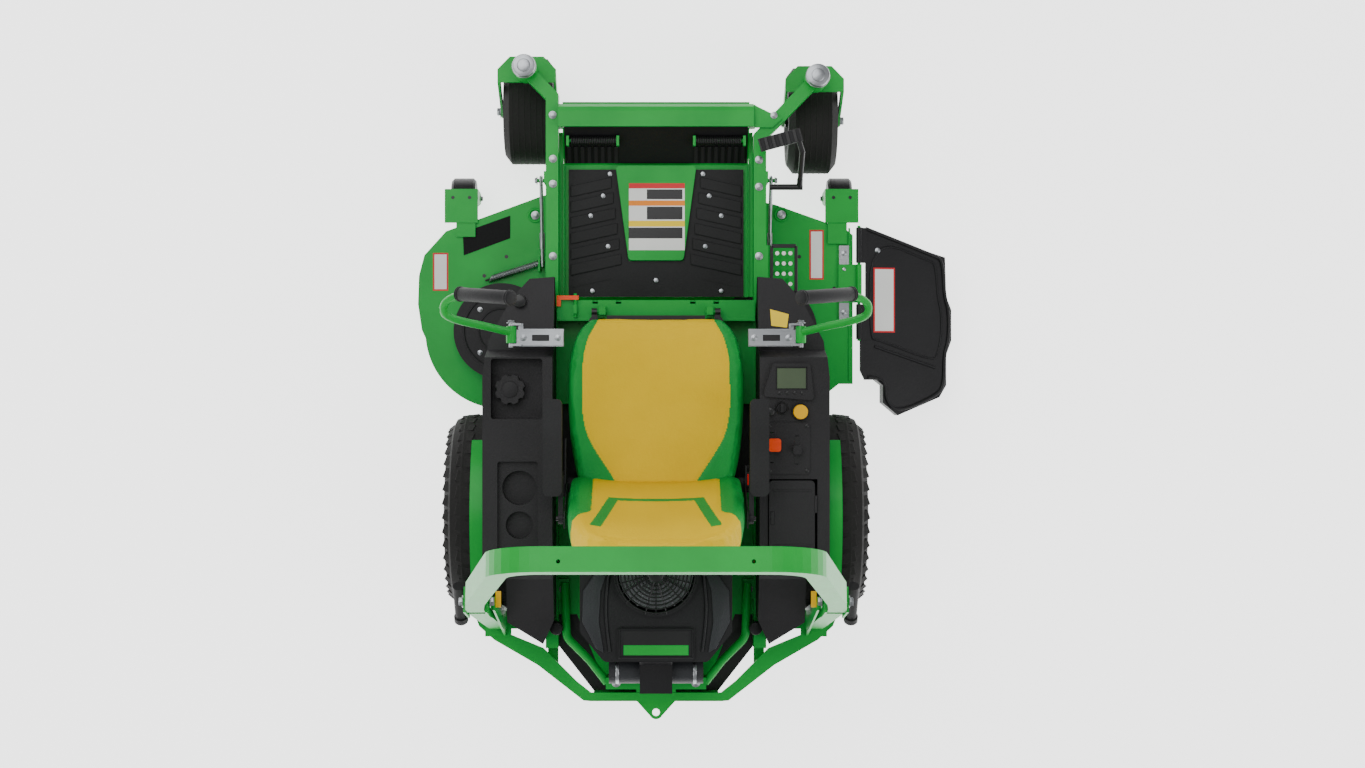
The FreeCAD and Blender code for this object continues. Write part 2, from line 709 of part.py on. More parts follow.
def fuel_cap():
    body = cyl((427, 16, 647), 44, 24).cut(cyl((427, 16, 640), 36, 20))
    for n in range(8):
        angle = math.radians(45 * n)
        spot = (427 + 47 * math.cos(angle), 16 + 47 * math.sin(angle), 640)
        body = body.cut(cyl(spot, 9, 40))
    return body


def storage_lid():
    lid = plate([(-329, 281), (-462, 281), (-462, 496), (-329, 496)], 691, 697, 12)
    rim = plate([(-336, 290), (-454, 290), (-454, 486), (-336, 486)], 680, 691, 6)
    rim = rim.cut(plate([(-340, 294), (-450, 294), (-450, 482), (-340, 482)], 670, 691, 4))
    return fuse([lid, rim, cyl((-464, 325, 694), 5, 50, (0, 1, 0))])


# ---------------------------------------------------------------- engine
def engine_block():
    ex, ey = ENGINE
    z0 = ENGINE_PLATE_Z[1]
    case = round_upright(box(-120, 120, ey - 110, ey + 130, z0, 572), 30)
    case = case.cut(cyl((ex, ey, z0 - 1), 60, 120))
    shapes = [case, cyl((ex, ey, 440), 40, 160)]
    for s in (1, -1):
        for n in range(7):
            z = 470 + 18 * n
            fin = turned(box(s * 90, s * 196, ey + 40, ey + 150, z, z + 6),
                         (s * 90, ey + 95, 0), (0, 0, 1), s * 14)
            shapes.append(fin)
        core = box(s * 90, s * 190, ey + 60, ey + 134, 470, 584)
        shapes.append(turned(core, (s * 90, ey + 95, 0), (0, 0, 1), s * 14))
        shapes.append(rod((s * 110, ey + 140, 540), (s * 90, 850, 540), 15))
    shapes.append(cyl((-140, 852, 542), 40, 280, (1, 0, 0)))
    body = fuse(shapes)
    return body.cut(cyl((ex, ey, 400), 14 + RUNNING, 300))


def engine_shroud():
    z0, z1 = 604, 720
    outline = [(-130, 430), (130, 430), (221, 500), (221, 720), (150, 806), (-150, 806),
               (-221, 720), (-221, 500)]
    shell = plate(outline, z0, z1, 24)
    inner = face([(x, y, z0) for x, y in outline]).makeOffset2D(-4)
    shell = shell.cut(inner.extrude(vec(0, 0, z1 - z0 - 4)))
    shell = shell.cut(cyl((ENGINE[0], ENGINE[1], 700), 116, 40))
    shapes = [shell]
    ring = tube((*ENGINE, 716), 124, 116, 32)
    shapes.append(ring)
    for r in (30, 60, 90):
        shapes.append(tube((*ENGINE, 752), r + 2, r - 2, 4))
    for n in range(6):
        spoke = box(-2, 2, 18, 121, 748, 754)
        spoke.translate(vec(*ENGINE))
        shapes.append(turned(spoke, (*ENGINE, 0), (0, 0, 1), 60 * n))
    shapes.append(tube((*ENGINE, 748), 24, 10, 8))
    shapes.append(plate([(-112, 706), (112, 706), (112, 802), (-112, 802)], 716, 728, 12))
    tongue = side_plate([(800, 640), (806, 640), (830, 606), (915, 598), (915, 592),
                         (826, 600), (800, 632)], -48, 48)
    shapes.append(tongue)
    for s in (1, -1):
        shapes.append(box(s * 120, s * 128, 470, 500, z0 - 32, z0 + 112))
    foot = [box(s * 100, s * 128, 470, 500, 572, 576) for s in (1, -1)]
    return fuse(shapes + foot)


def crank_fan():
    ex, ey = ENGINE
    shapes = [cyl((ex, ey, 205), 14, 535)]
    for z, r in ((205, 84), (233, 84), (368, 70), (388, 70)):
        shapes.append(cyl((ex, ey, z), r, 4))
    shapes.append(cyl((ex, ey, 205), 75, 30))
    shapes.append(cyl((ex, ey, 237), 66, 70))
    shapes.append(cyl((ex, ey, 368), 62, 22))
    hub = cyl((ex, ey, 712), 30, 30)
    shapes += [hub, cyl((ex, ey, 712), 108, 4)]
    for n in range(12):
        vane = box(28, 108, -2, 2, 714, 738)
        vane.translate(vec(ex, ey))
        shapes.append(turned(vane, (ex, ey, 0), (0, 0, 1), 30 * n))
    return fuse(shapes)


def battery():
    case = round_upright(box(-98, 98, -170, -38, 340, 510), 6)
    posts = [cyl((x, -104, 510), 9, 14) for x in (-70, 70)]
    return fuse([case] + posts)


# ---------------------------------------------------------------- seat
def seat_plate():
    base = plate([(-200, -204), (200, -204), (200, 250), (-200, 250)], 551, 556, 20)
    shapes = [base]
    for s in (1, -1):
        shapes.append(tube((s * 176, *SEAT_HINGE), 11, 5 + RUNNING, 16, (s, 0, 0)))
        shapes.append(box(s * 176, s * 192, -212, -190, 541, 552))
        shapes.append(box(s * 130, s * 160, -190, 240, 556, 568))
        for y in (-120, 180):
            shapes.append(cyl((s * 165, y, 532), 14, 20))
    body = fuse(shapes)
    for s in (1, -1):
        body = body.cut(cyl((s * 170, *SEAT_HINGE), 5 + RUNNING, 30, (s, 0, 0)))
        body = body.cut(box(s * 146, s * 174, -220, -184, 520, 580))
    return body


def seat_frame():
    shapes = [box(-215, 215, -150, 275, 570, 574)]
    for s in (1, -1):
        shapes.append(box(s * 162, s * 170, -140, 270, 558, 571))
        shapes.append(box(s * 200, s * 263, 278, 300, 570, 574))
        shapes.append(box(s * 200, s * 215, 270, 300, 570, 574))
        strap = [(292, 570), (326, 570), (412, 830), (366, 830), (292, 640)]
        shapes.append(side_plate(strap, s * 259.5, s * 263.5))
        shapes.append(cyl((s * 262, *ARMREST_PIVOT), 7, 24, (s, 0, 0)))
    stalk = end_plate([(-263.5, 574), (-259.5, 574), (-262, 600), (-276, 600)], 292, 318)
    shapes.append(box(-290, -259.5, 292, 318, 596, 602))
    housing = box(-290, -262, 240, 300, 596, 640)
    housing = housing.cut(box(-285, -267, 232, 260, 610, 645))
    housing = housing.cut(box(-285, -267, 263, 297, 634, 645))
    shapes += [stalk, housing]
    return fuse(shapes)


def seat_cushion():
    outline = [(-235, -200), (235, -200), (262, -150), (262, 286), (-262, 286),
               (-262, -150)]
    body = plate(outline, 576, 662, 18)
    back = side_plate([(286, 560), (286, 700), (240, 700)], -300, 300)
    return body.cut(back).cut(box(-100, 100, -210, 0, 570, 571))


def seat_back():
    side = [(292, 590), (288, 664), (300, 700), (452, 1075), (505, 1060), (520, 1020),
            (372, 640), (360, 590)]
    body = side_plate(side, -256, 256)
    shape = end_plate([(-256, 580), (256, 580), (256, 960), (215, 1080), (-215, 1080),
                       (-256, 960)], 200, 700)
    body = body.common(shape)
    return body.cut(box(-259, 259, 290, 330, 560, 576))


def armrest(s):
    pad = box(s * 268, s * 322, 43, 320, 806, 840)
    pad = round_upright(pad, 16)
    arm = box(s * 266, s * 280, 250, 385, 788, 806)
    hub = cyl((s * 266, *ARMREST_PIVOT), 16, 14, (s, 0, 0))
    body = fuse([pad, arm, hub])
    return body.cut(cyl((s * 260, *ARMREST_PIVOT), 7 + RUNNING, 30, (s, 0, 0)))


def buckle_button():
    return box(-284, -268, 264, 296, 640.5, 648)


# ---------------------------------------------------------------- roll bar
def leaned(shape):
    x, y, z = ROPS_HINGE
    return turned(shape, (x, y, z), (1, 0, 0), ROPS_LEAN)


def rops_outline(width, low):
    x, y, z = ROPS_HINGE
    top = z + ROPS_RISE
    side = [(x, low), (x, z + 66), (x - 12, z + 200)]
    for n in range(9):
        turn = math.radians(6 + 84 * n / 8)
        side.append((ROPS_CORNER_X + ROPS_CORNER_R * math.cos(turn),
                     top - ROPS_CORNER_R + ROPS_CORNER_R * math.sin(turn)))
    return ribbon(side + [(-a, b) for a, b in side[::-1]], width)


def rops_hoop():
    x, y, z = ROPS_HINGE
    across, deep = ROPS_TUBE
    body = end_plate(rops_outline(across, z), y - deep / 2, y + deep / 2)
    wall = 3.5
    hollow = end_plate(rops_outline(across - 2 * wall, z + 40), y - deep / 2 + wall,
                       y + deep / 2 - wall)
    ends = [cyl((s * (x - across / 2), y, z), deep / 2, across, (s, 0, 0)) for s in (1, -1)]
    body = fuse([body] + ends).cut(hollow)
    body = body.cut(cyl((-x - 60, y, z), 10 + RUNNING, 2 * x + 120, (1, 0, 0)))
    body = leaned(body)
    for s in (1, -1):
        body = body.cut(cyl((s * ROPS_HOLE_X, ROPS_TOP_Y, 1700), ROPS_HOLE_R, 200))
    return body


def rops_posts():
    x, y, z = ROPS_HINGE
    across, deep = ROPS_TUBE
    posts = []
    for s in (1, -1):
        path = [(s * (x - 1), z - 36), (s * 479, z - 500)]
        leg = end_plate(ribbon(path, across), y - deep / 2, y + deep / 2)
        core = end_plate(ribbon(path, across - 8), y - deep / 2 + 4, y + deep / 2 - 4)
        shapes = [leg.cut(core)]
        for a, b in ((x - 33, x - 27), (x + 27, x + 33)):
            ear = side_plate([(y - 36, z - 110), (y + 36, z - 110), (y + 36, z + 50),
                              (y - 36, z + 50)], s * a, s * b)
            shapes.append(ear)
        shapes.append(box(s * (x - 34), s * (x + 28), y - 30, y + 30, z - 60, z - 52))
        shapes.append(cyl((s * (x - 38), y, z), 10, 76, (s, 0, 0)))
        post = leaned(fuse(shapes))
        foot = box(s * 440, s * 520, 688, 768, 400, 408)
        blade_bar = side_plate([(604, 870), (640, 870), (766, 408), (730, 408)],
                               s * 456, s * 462)
        link = box(s * 456, s * 474, 604, 636, 848, 868)
        post = fuse([post, foot, blade_bar, link])
        posts.append(post.cut(box(s * 400, s * 560, 600, 800, 300, 400)))
    return Part.Compound(posts)


# ---------------------------------------------------------------- controls
def lever_bracket(s):
    y, z = LEVER_PIVOT
    sx, sz = LEVER_SWING
    shapes = [
        box(s * 268, s * 398, y - 26, y + 25, 700, 706),
        box(s * 268, s * 398, y - 26, y - 20, 690, 712),
    ]
    for a, b in ((284, 296), (314, 326)):
        shapes.append(box(s * a, s * b, y - 16, y + 16, z - 10, 702))
        shapes.append(cyl((s * a, y, z), 16, b - a, (s, 0, 0)))
    shapes.append(cyl((s * sx, y - 42, sz), 7, 70, (0, 1, 0)))
    shapes.append(box(s * 390, s * 424, y + 18, y + 24, 700, 726))
    shapes.append(box(s * 390, s * 424, y - 42, y - 36, 700, 726))
    shapes.append(box(s * 386, s * 400, y - 42, y + 24, 700, 706))
    body = fuse(shapes)
    return body.cut(cyl((s * 280, y, z), 8 + RUNNING, 60, (s, 0, 0)))


def lap_bar(s):
    sx, sz = LEVER_SWING
    y = LEVER_PIVOT[0]
    hub = cyl((s * sx, y - 34, sz), 15, 50, (0, 1, 0))
    path = [(s * 428, y - 12, 725), (s * 480, y - 28, 778), (s * 544, y - 42, 840),
            (s * 590, y - 56, 886), (s * 586, y - 98, 910), (s * 545, y - 118, 945),
            (s * 470, y - 112, 1015), (s * 395, y - 101, 1085)]
    bars = []
    for n, (a, b) in enumerate(zip(path, path[1:])):
        r = 11 if n < 5 else 15
        bars.append(rod(a, b, r))
        bars.append(Part.makeSphere(r, vec(*b)))
    return fuse([hub] + bars).cut(cyl((s * sx, y - 50, sz), 7 + RUNNING, 90, (0, 1, 0)))


def throttle():
    stem = box(-341, -333, 170, 180, 655, 712)
    knob = round_upright(box(-362, -326, 158, 196, 712, 730), 8)
    return fuse([stem, knob, cyl((-342, 175, 652), 10, 10, (1, 0, 0))])


def choke():
    stem = box(-414, -406, 186, 196, 655, 706)
    knob = round_upright(box(-422, -398, 178, 204, 706, 720), 6)
    return fuse([stem, knob, cyl((-415, 191, 652), 10, 10, (1, 0, 0))])


def pto_knob():
    return fuse([cyl((-420, 81, 650), 8, 46), cyl((-420, 81, 692), 20, 24)])


def key():
    return fuse([cyl((-366, 70, 660), 7, 40), cyl((-366, 70, 691), 14, 6),
                 box(-370, -362, 58, 82, 697, 716)])


def seat_latch():
    arm = [(231, 538), (296, 534), (296, 525), (231, 520)]
    shapes = [end_plate(arm, -264, -251.5)]
    shapes.append(box(284, 296, -264, -232, 526, 534))
    return fuse(shapes).cut(cyl((241, -280, 530), 5 + RUNNING, 60, (0, 1, 0)))


# ---------------------------------------------------------------- output
def main():
    os.makedirs("parts", exist_ok=True)
    nodes = {
        "frame_rails": frame_rails(), "front_cross_cover": front_cross_cover(),
        "foot_pan": foot_pan(), "foot_mat": foot_mat(), "seat_riser": seat_riser(),
        "rear_frame": rear_frame(), "rear_bumper": rear_bumper(), "fenders": fenders(),
        "rubber_bars": rubber_bars(), "left_console": left_console(),
        "right_console": right_console(), "control_panel": control_panel(),
        "engine_block": engine_block(), "engine_shroud": engine_shroud(),
        "battery": battery(), "transaxles": transaxles(), "fuel_tank": fuel_tank(),
        "rops_posts": rops_posts(), "rops_hoop": rops_hoop(), "crank_fan": crank_fan(),
        "seat_plate": seat_plate(), "seat_frame": seat_frame(),
        "seat_cushion": seat_cushion(), "seat_back": seat_back(),
        "buckle_button": buckle_button(), "throttle": throttle(), "choke": choke(),
        "pto_knob": pto_knob(), "key": key(), "fuel_cap": fuel_cap(),
        "storage_lid": storage_lid(), "seat_latch": seat_latch(),
    }
    nodes.update(assembly_deck())
    for side in ("left", "right"):
        s = 1 if side == "left" else -1
        nodes["caster_fork_" + side] = caster_fork(side)
        nodes["caster_tyre_" + side] = caster_tyre(side)
        nodes["caster_rim_" + side] = caster_rim(side)
        nodes["rear_tyre_" + side] = rear_tyre(s)
        nodes["rear_rim_" + side] = rear_rim(s)
        nodes["lever_bracket_" + side] = lever_bracket(s)
        nodes["lap_bar_" + side] = lap_bar(s)
        nodes["armrest_" + side] = armrest(s)
    for name, shape in nodes.items():
        export(name, shape)


main()
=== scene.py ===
"""Zero turn riding mower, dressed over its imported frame.

Lengths are in metres.  at(x, y, z) measures from the mower's own centre line:
+X is its left side, -Y its front, and the ground is z = 0.
"""
import math

import bpy
from mathutils import Matrix, Vector


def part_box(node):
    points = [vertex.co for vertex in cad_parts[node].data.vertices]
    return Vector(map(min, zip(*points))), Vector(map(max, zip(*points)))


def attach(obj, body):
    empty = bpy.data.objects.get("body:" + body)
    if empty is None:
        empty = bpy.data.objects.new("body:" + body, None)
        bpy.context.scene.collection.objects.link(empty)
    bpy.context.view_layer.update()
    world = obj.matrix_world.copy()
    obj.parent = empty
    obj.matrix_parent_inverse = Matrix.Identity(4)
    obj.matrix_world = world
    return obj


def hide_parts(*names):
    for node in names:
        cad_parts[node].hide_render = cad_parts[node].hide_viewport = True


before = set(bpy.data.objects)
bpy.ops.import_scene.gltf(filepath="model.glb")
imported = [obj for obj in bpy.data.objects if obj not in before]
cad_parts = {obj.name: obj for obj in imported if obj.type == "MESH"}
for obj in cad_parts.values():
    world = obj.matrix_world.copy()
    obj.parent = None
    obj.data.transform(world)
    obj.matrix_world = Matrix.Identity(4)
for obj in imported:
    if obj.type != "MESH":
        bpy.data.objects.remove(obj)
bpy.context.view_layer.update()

bl_info = {
    "name": "Zero turn mower",
    "version": (1, 0, 0),
    "blender": (4, 5, 0),
    "location": "3D Viewport > Sidebar > Mower",
    "description": "Finishes, seat, fittings and studio for a riding mower",
    "category": "Object",
}

LEFT_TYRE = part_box("rear_tyre_left")
RIGHT_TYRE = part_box("rear_tyre_right")
CENTRE_X = (LEFT_TYRE[0].x + RIGHT_TYRE[1].x) / 2
AXLE_Y = 0.395
CENTRE_Y = (LEFT_TYRE[0].y + LEFT_TYRE[1].y) / 2 - AXLE_Y
SIDES = {"left": 1, "right": -1}
TOE_BOARD_TILT = Matrix.Rotation(math.radians(-44), 4, "X")
FLOOR_SIZE = 120
SENSOR_WIDTH = 36               # in millimetres
VIEW_WIDTH = 4.409              # of the ground that the camera takes in


def at(x, y, z=0.0):
    return Vector((CENTRE_X + x, CENTRE_Y + y, z))


# ------------------------------------------------------------------ materials
def linear(code):
    """A colour written as sRGB hex, as the linear values a shader takes."""
    parts = [int(code[n:n + 2], 16) / 255 for n in (0, 2, 4)]
    return [c / 12.92 if c < 0.04045 else ((c + 0.055) / 1.055) ** 2.4 for c in parts] + [1]


def add(tree, kind, settings=(), **links):
    """Add one node, set what is given and link its inputs."""
    node = tree.nodes.new(kind)
    for key, value in dict(settings).items():
        if hasattr(node, key):
            setattr(node, key, value)
        else:
            node.inputs[key].default_value = value
    for key, source in links.items():
        tree.links.new(source, node.inputs[key])
    return node


def finish(name, code, dark, rough, metal=0.0, coat=0.0, grain_mm=1.0, bump=0.1,
           patch=0.35, sheen=0.0, shine=0.28):
    """A surface with a fine grain in its relief and slow changes of tone."""
    material = bpy.data.materials.new(name)
    material.use_nodes = True
    tree = material.node_tree
    shader = tree.nodes["Principled BSDF"]
    shader.inputs["Metallic"].default_value = metal
    shader.inputs["Coat Weight"].default_value = coat
    shader.inputs["Coat Roughness"].default_value = 0.12
    shader.inputs["Specular IOR Level"].default_value = 0.5 if metal else shine
    shader.inputs["Sheen Weight"].default_value = sheen
    where = add(tree, "ShaderNodeTexCoord").outputs["Object"]
    slow = add(tree, "ShaderNodeTexNoise", {"Scale": 6.0, "Detail": 4.0}, Vector=where)
    fine = add(tree, "ShaderNodeTexNoise", {"Scale": 1000 / grain_mm / 2, "Detail": 2.0},
               Vector=where)
    tone = add(tree, "ShaderNodeValToRGB", Fac=slow.outputs["Fac"])
    tone.color_ramp.elements[0].position = 0.5 - patch
    tone.color_ramp.elements[0].color = linear(dark)
    tone.color_ramp.elements[1].position = 0.5 + patch * 0.4
    tone.color_ramp.elements[1].color = linear(code)
    tree.links.new(tone.outputs["Color"], shader.inputs["Base Color"])
    gloss = add(tree, "ShaderNodeMapRange", {"To Min": max(rough - 0.06, 0.03),
                                             "To Max": rough + 0.08},
                Value=fine.outputs["Fac"])
    tree.links.new(gloss.outputs["Result"], shader.inputs["Roughness"])
    relief = add(tree, "ShaderNodeBump", {"Strength": bump, "Distance": grain_mm / 1000},
                 Height=fine.outputs["Fac"])
    tree.links.new(relief.outputs["Normal"], shader.inputs["Normal"])
    return material


LABEL_FILMS = [("white", "e9e9e6", "dededb"), ("red", "d3262c", "c71c23"),
               ("orange", "ef8a1e", "e27c12"), ("yellow", "f5d21f", "e8c412")]


def make_finishes(settings):
    made = {
        # polyester powder coat, sprayed and baked: orange peel under a clear gloss
        "green": finish("powder_coat_green", settings.paint, "068c2f", 0.4, coat=0.06,
                        shine=0.2, grain_mm=4, bump=0.06),
        # moulded ABS: a fine spark-eroded grain, satin and slightly grey with dust
        "black": finish("moulded_abs_black", "1f1e20", "171618", 0.5, grain_mm=1.6,
                        bump=0.35),
        # moulded polyethylene: a softer, waxy black for covers and the chute
        "rubber_cover": finish("moulded_polyethylene_black", "19191b", "111113", 0.42,
                               grain_mm=2.5, bump=0.2),
        # vulcanised tyre rubber: dull, a bit brown with dust
        "tyre": finish("vulcanised_tyre_rubber", "1b1a19", "121211", 0.72, grain_mm=3,
                       bump=0.3),
        # moulded nitrile rubber: matt, near black
        "mat": finish("moulded_nitrile_rubber", "1d1d1e", "141415", 0.6, grain_mm=2,
                      bump=0.3),
        # bright zinc plate: silvery with a faint uneven blush
        "zinc": finish("bright_zinc_plate", "a9acaf", "7f8388", 0.3, metal=1.0,
                       grain_mm=3, bump=0.05),
        # ground steel: greyer and duller than the zinc
        "steel": finish("ground_steel", "8b8d90", "6c6e72", 0.38, metal=1.0, grain_mm=1,
                        bump=0.1),
        # cast aluminium under dark grey paint: a coarse sand-cast relief
        "cast": finish("cast_aluminium", "2c2e31", "1f2023", 0.5,
                       grain_mm=2.4, bump=0.4),
        # satin black paint on steel: smooth with a thin clear coat
        "satin": finish("satin_black_paint", "1b1b1c", "121213", 0.4, coat=0.2,
                        grain_mm=3, bump=0.05),
        # calendered vinyl: an embossed leather grain with little shine
        "vinyl": finish("embossed_vinyl_yellow", settings.seat, "d4ac00", 0.55, grain_mm=3.2,
                        bump=0.35, shine=0.12),
        "vinyl_green": finish("embossed_vinyl_green", settings.trim, "087c2e", 0.5,
                              grain_mm=3.2, bump=0.35, shine=0.2),
        # self-skinned foam: a dull, slightly pebbled skin
        "foam": finish("self_skinned_polyurethane", "202022", "161617", 0.6, grain_mm=2.6,
                       bump=0.35),
        # acetal: hard, smooth, strongly coloured knobs and catches
        "orange": finish("acetal_orange", "f04a08", "e03c02", 0.32, grain_mm=2, bump=0.05),
        "yellow": finish("acetal_yellow", "e8b000", "dca400", 0.3, grain_mm=2, bump=0.05),
        "red": finish("acetal_red", "d00f10", "b80a0b", 0.32, grain_mm=2, bump=0.05),
        # silicon carbide grit on adhesive film: coarse and matt
        "grit": finish("silicon_carbide_grit_tape", "1a1a1b", "0e0e0f", 0.9, grain_mm=2.2,
                       bump=0.9),
        # polycarbonate over a liquid crystal: smooth, glossy and grey-green
        "screen": finish("polycarbonate_window", "4c5a44", "414e3a", 0.12, coat=0.6,
                         grain_mm=6, bump=0.01),
    }
    # printed vinyl film: even colour with a slight shine
    for name, code, dark in LABEL_FILMS:
        made[name + "_label"] = finish("vinyl_film_" + name, code, dark, 0.35, grain_mm=4,
                                       bump=0.03)
    return made


NODE_FINISH = {
    "green": ["frame_rails", "front_cross_cover", "foot_pan", "seat_riser", "rear_frame",
              "rear_bumper", "fenders", "rops_posts", "rops_hoop", "deck_shell",
              "caster_fork_left", "caster_fork_right", "lap_bar_left", "lap_bar_right"],
    "black": ["left_console", "right_console", "control_panel", "storage_lid", "choke",
              "key", "fuel_cap", "belt_covers"],
    "rubber_cover": ["engine_shroud", "chute", "fuel_tank", "battery",
                     "scalp_wheel_left", "scalp_wheel_right"],
    "tyre": ["rear_tyre_left", "rear_tyre_right", "caster_tyre_left",
             "caster_tyre_right"],
    "mat": ["foot_mat", "rubber_bars", "deck_belt"],
    "zinc": ["draft_rod_left", "draft_rod_right", "lever_bracket_left",
             "lever_bracket_right"],
    "steel": ["blade_left", "blade_centre", "blade_right", "crank_fan"],
    "cast": ["engine_block", "transaxles"],
    "satin": ["rear_rim_left", "rear_rim_right", "caster_rim_left", "caster_rim_right",
              "lift_pedal", "seat_plate", "seat_frame"],
    "foam": ["armrest_left", "armrest_right"],
    "vinyl": ["seat_cushion", "seat_back"],
    "orange": ["throttle", "seat_latch"],
    "yellow": ["pto_knob"],
    "red": ["buckle_button"],
}
FINISHES = {}


# ------------------------------------------------------------------ modelling
def start():
    """Deselect everything, so that an operator acts on the new piece alone."""
    if bpy.context.object and bpy.context.object.mode != "OBJECT":
        bpy.ops.object.mode_set(mode="OBJECT")
    bpy.ops.object.select_all(action="DESELECT")


def take(obj):
    start()
    obj.select_set(True)
    bpy.context.view_layer.objects.active = obj
    return obj


def settle(obj, name, finish_name, body, smooth=35):
    """Put a piece's place into its mesh, name and paint it, and ride its body."""
    take(obj)
    bpy.ops.object.transform_apply(location=True, rotation=True, scale=True)
    obj.name = name
    obj.data.name = name
    obj.data.materials.clear()
    obj.data.materials.append(FINISHES[finish_name])
    if smooth:
        bpy.ops.object.shade_smooth_by_angle(angle=math.radians(smooth))
    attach(obj, body)
    return obj


def modify(obj, kind, **settings):
    take(obj)
    modifier = obj.modifiers.new(kind.title(), kind)
    for key, value in settings.items():
        setattr(modifier, key, value)
    bpy.ops.object.modifier_apply(modifier=modifier.name)
    return obj


def rounded_block(low, high, edge=0.003, segments=2):
    """A block between two corners with its edges rolled over."""
    start()
    bpy.ops.mesh.primitive_cube_add(size=1, location=(Vector(low) + Vector(high)) / 2)
    obj = bpy.context.object
    obj.scale = [abs(b - a) for a, b in zip(low, high)]
    bpy.ops.object.transform_apply(location=True, rotation=True, scale=True)
    return modify(obj, "BEVEL", width=edge, segments=segments, limit_method="NONE")


def turned_pin(start_at, end_at, radius, sides=24, edge=0.0):
    """A round bar from one point to another."""
    start()
    a, b = Vector(start_at), Vector(end_at)
    bpy.ops.mesh.primitive_cylinder_add(radius=radius, depth=(b - a).length,
                                        vertices=sides, location=(a + b) / 2)
    obj = bpy.context.object
    obj.rotation_euler = (b - a).to_track_quat("Z", "Y").to_euler()
    bpy.ops.object.transform_apply(location=True, rotation=True, scale=True)
    if edge:
        modify(obj, "BEVEL", width=edge, segments=2, limit_method="ANGLE",
               angle_limit=math.radians(60))
    return obj


def tile(name, low, high, edge, paint, body):
    """A flat piece with eased edges, finished and fixed to its body."""
    return settle(rounded_block(low, high, edge, 1), name, paint, body, 0)


def ring(centre, axis, major, minor, sides=48):
    start()
    bpy.ops.mesh.primitive_torus_add(major_radius=major, minor_radius=minor,
                                     major_segments=sides, minor_segments=10,
                                     location=centre)
    obj = bpy.context.object
    obj.rotation_euler = Vector(axis).to_track_quat("Z", "Y").to_euler()
    bpy.ops.object.transform_apply(location=True, rotation=True, scale=True)
    return obj


def cut_sheet(points, z, thick, edge=0.0):
    """A flat sheet with the given outline (mower x, y), pushed up by its thickness."""
    start()
    bpy.ops.mesh.primitive_circle_add(vertices=len(points), fill_type="NGON",
                                      location=(0, 0, 0))
    obj = bpy.context.object
    for vertex, (x, y) in zip(obj.data.vertices, points):
        vertex.co = at(x, y, z)
    bpy.ops.object.mode_set(mode="EDIT")
    bpy.ops.mesh.select_all(action="SELECT")
    bpy.ops.mesh.extrude_region_move(TRANSFORM_OT_translate={"value": (0, 0, thick)})
    bpy.ops.mesh.select_all(action="SELECT")
    bpy.ops.mesh.normals_make_consistent(inside=False)
    bpy.ops.object.mode_set(mode="OBJECT")
    if edge:
        modify(obj, "BEVEL", width=edge, segments=2, limit_method="ANGLE",
               angle_limit=math.radians(40))
    return obj


def join(objs):
    start()
    for obj in objs:
        obj.select_set(True)
    bpy.context.view_layer.objects.active = objs[0]
    if len(objs) > 1:
        bpy.ops.object.join()
    return objs[0]


def copies(obj, moves):
    """The piece repeated at each matrix, as one mesh."""
    made = []
    for move in moves:
        again = obj.copy()
        again.data = obj.data.copy()
        again.data.transform(move)
        bpy.context.collection.objects.link(again)
        made.append(again)
    bpy.data.objects.remove(obj)
    return join(made)


def hex_bolt(spot, across=0.016, axis=(0, 0, 1)):
    """A flanged hexagon head standing on a face at spot."""
    way = Vector(axis).normalized()
    spot = Vector(spot)
    head = turned_pin(spot, spot + way * across * 0.45, across * 0.5, 6, 0.0008)
    return join([head, turned_pin(spot, spot + way * 0.0022, across * 0.68, 20, 0.0006)])


def bolts(name, spots, body, across=0.016, axis=(0, 0, 1), paint="zinc"):
    return settle(join([hex_bolt(s, across, axis) for s in spots]), name, paint, body)


def smooth_tube(name, points, radius, paint, body, closed=False):
    """A tube on one smooth curve, made a mesh."""
    curve = bpy.data.curves.new(name, "CURVE")
    curve.dimensions = "3D"
    curve.bevel_depth = radius
    curve.bevel_resolution = 4
    curve.use_fill_caps = True
    curve.resolution_u = 6
    spline = curve.splines.new("NURBS")
    spline.points.add(len(points) - 1)
    for point, place in zip(spline.points, points):
        point.co = (*place, 1)
    spline.order_u = 3
    spline.use_endpoint_u = not closed
    spline.use_cyclic_u = closed
    obj = bpy.data.objects.new(name, curve)
    bpy.context.collection.objects.link(obj)
    take(obj)
    bpy.ops.object.convert(target="MESH")
    return settle(bpy.context.object, name, paint, body)


# ------------------------------------------------------------------ seat
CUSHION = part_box("seat_cushion")
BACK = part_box("seat_back")
SEAT_HALF = (CUSHION[1].x - CUSHION[0].x) / 2
YELLOW_EDGE = [(-0.21, 0.16), (-0.183, 0.173), (-0.13, 0.2), (-0.056, 0.214),
               (0.135, 0.205), (0.282, 0.121), (0.32, 0.1)]


def between(table, value):
    """The value read off a table of (place, size), in straight runs."""
    if value <= table[0][0]:
        return table[0][1]
    for (a, p), (b, q) in zip(table, table[1:]):
        if value <= b:
            return p + (q - p) * (value - a) / (b - a)
    return table[-1][1]


def flowing(table, value):
    """The value read off a table of (place, size), on one smooth curve."""
    last = len(table) - 1
    if value <= table[0][0]:
        return table[0][1]
    if value >= table[last][0]:
        return table[last][1]
    n = max(k for k in range(last) if table[k][0] <= value)
    slopes = []
    for k in (n, n + 1):
        before, after = table[max(k - 1, 0)], table[min(k + 1, last)]
        slopes.append((after[1] - before[1]) / (after[0] - before[0]))
    (a, p), (b, q) = table[n], table[n + 1]
    t = (value - a) / (b - a)
    bend = slopes[0] * (b - a) * t * (1 - t) ** 2 - slopes[1] * (b - a) * t * t * (1 - t)
    return p + (q - p) * t * t * (3 - 2 * t) + bend


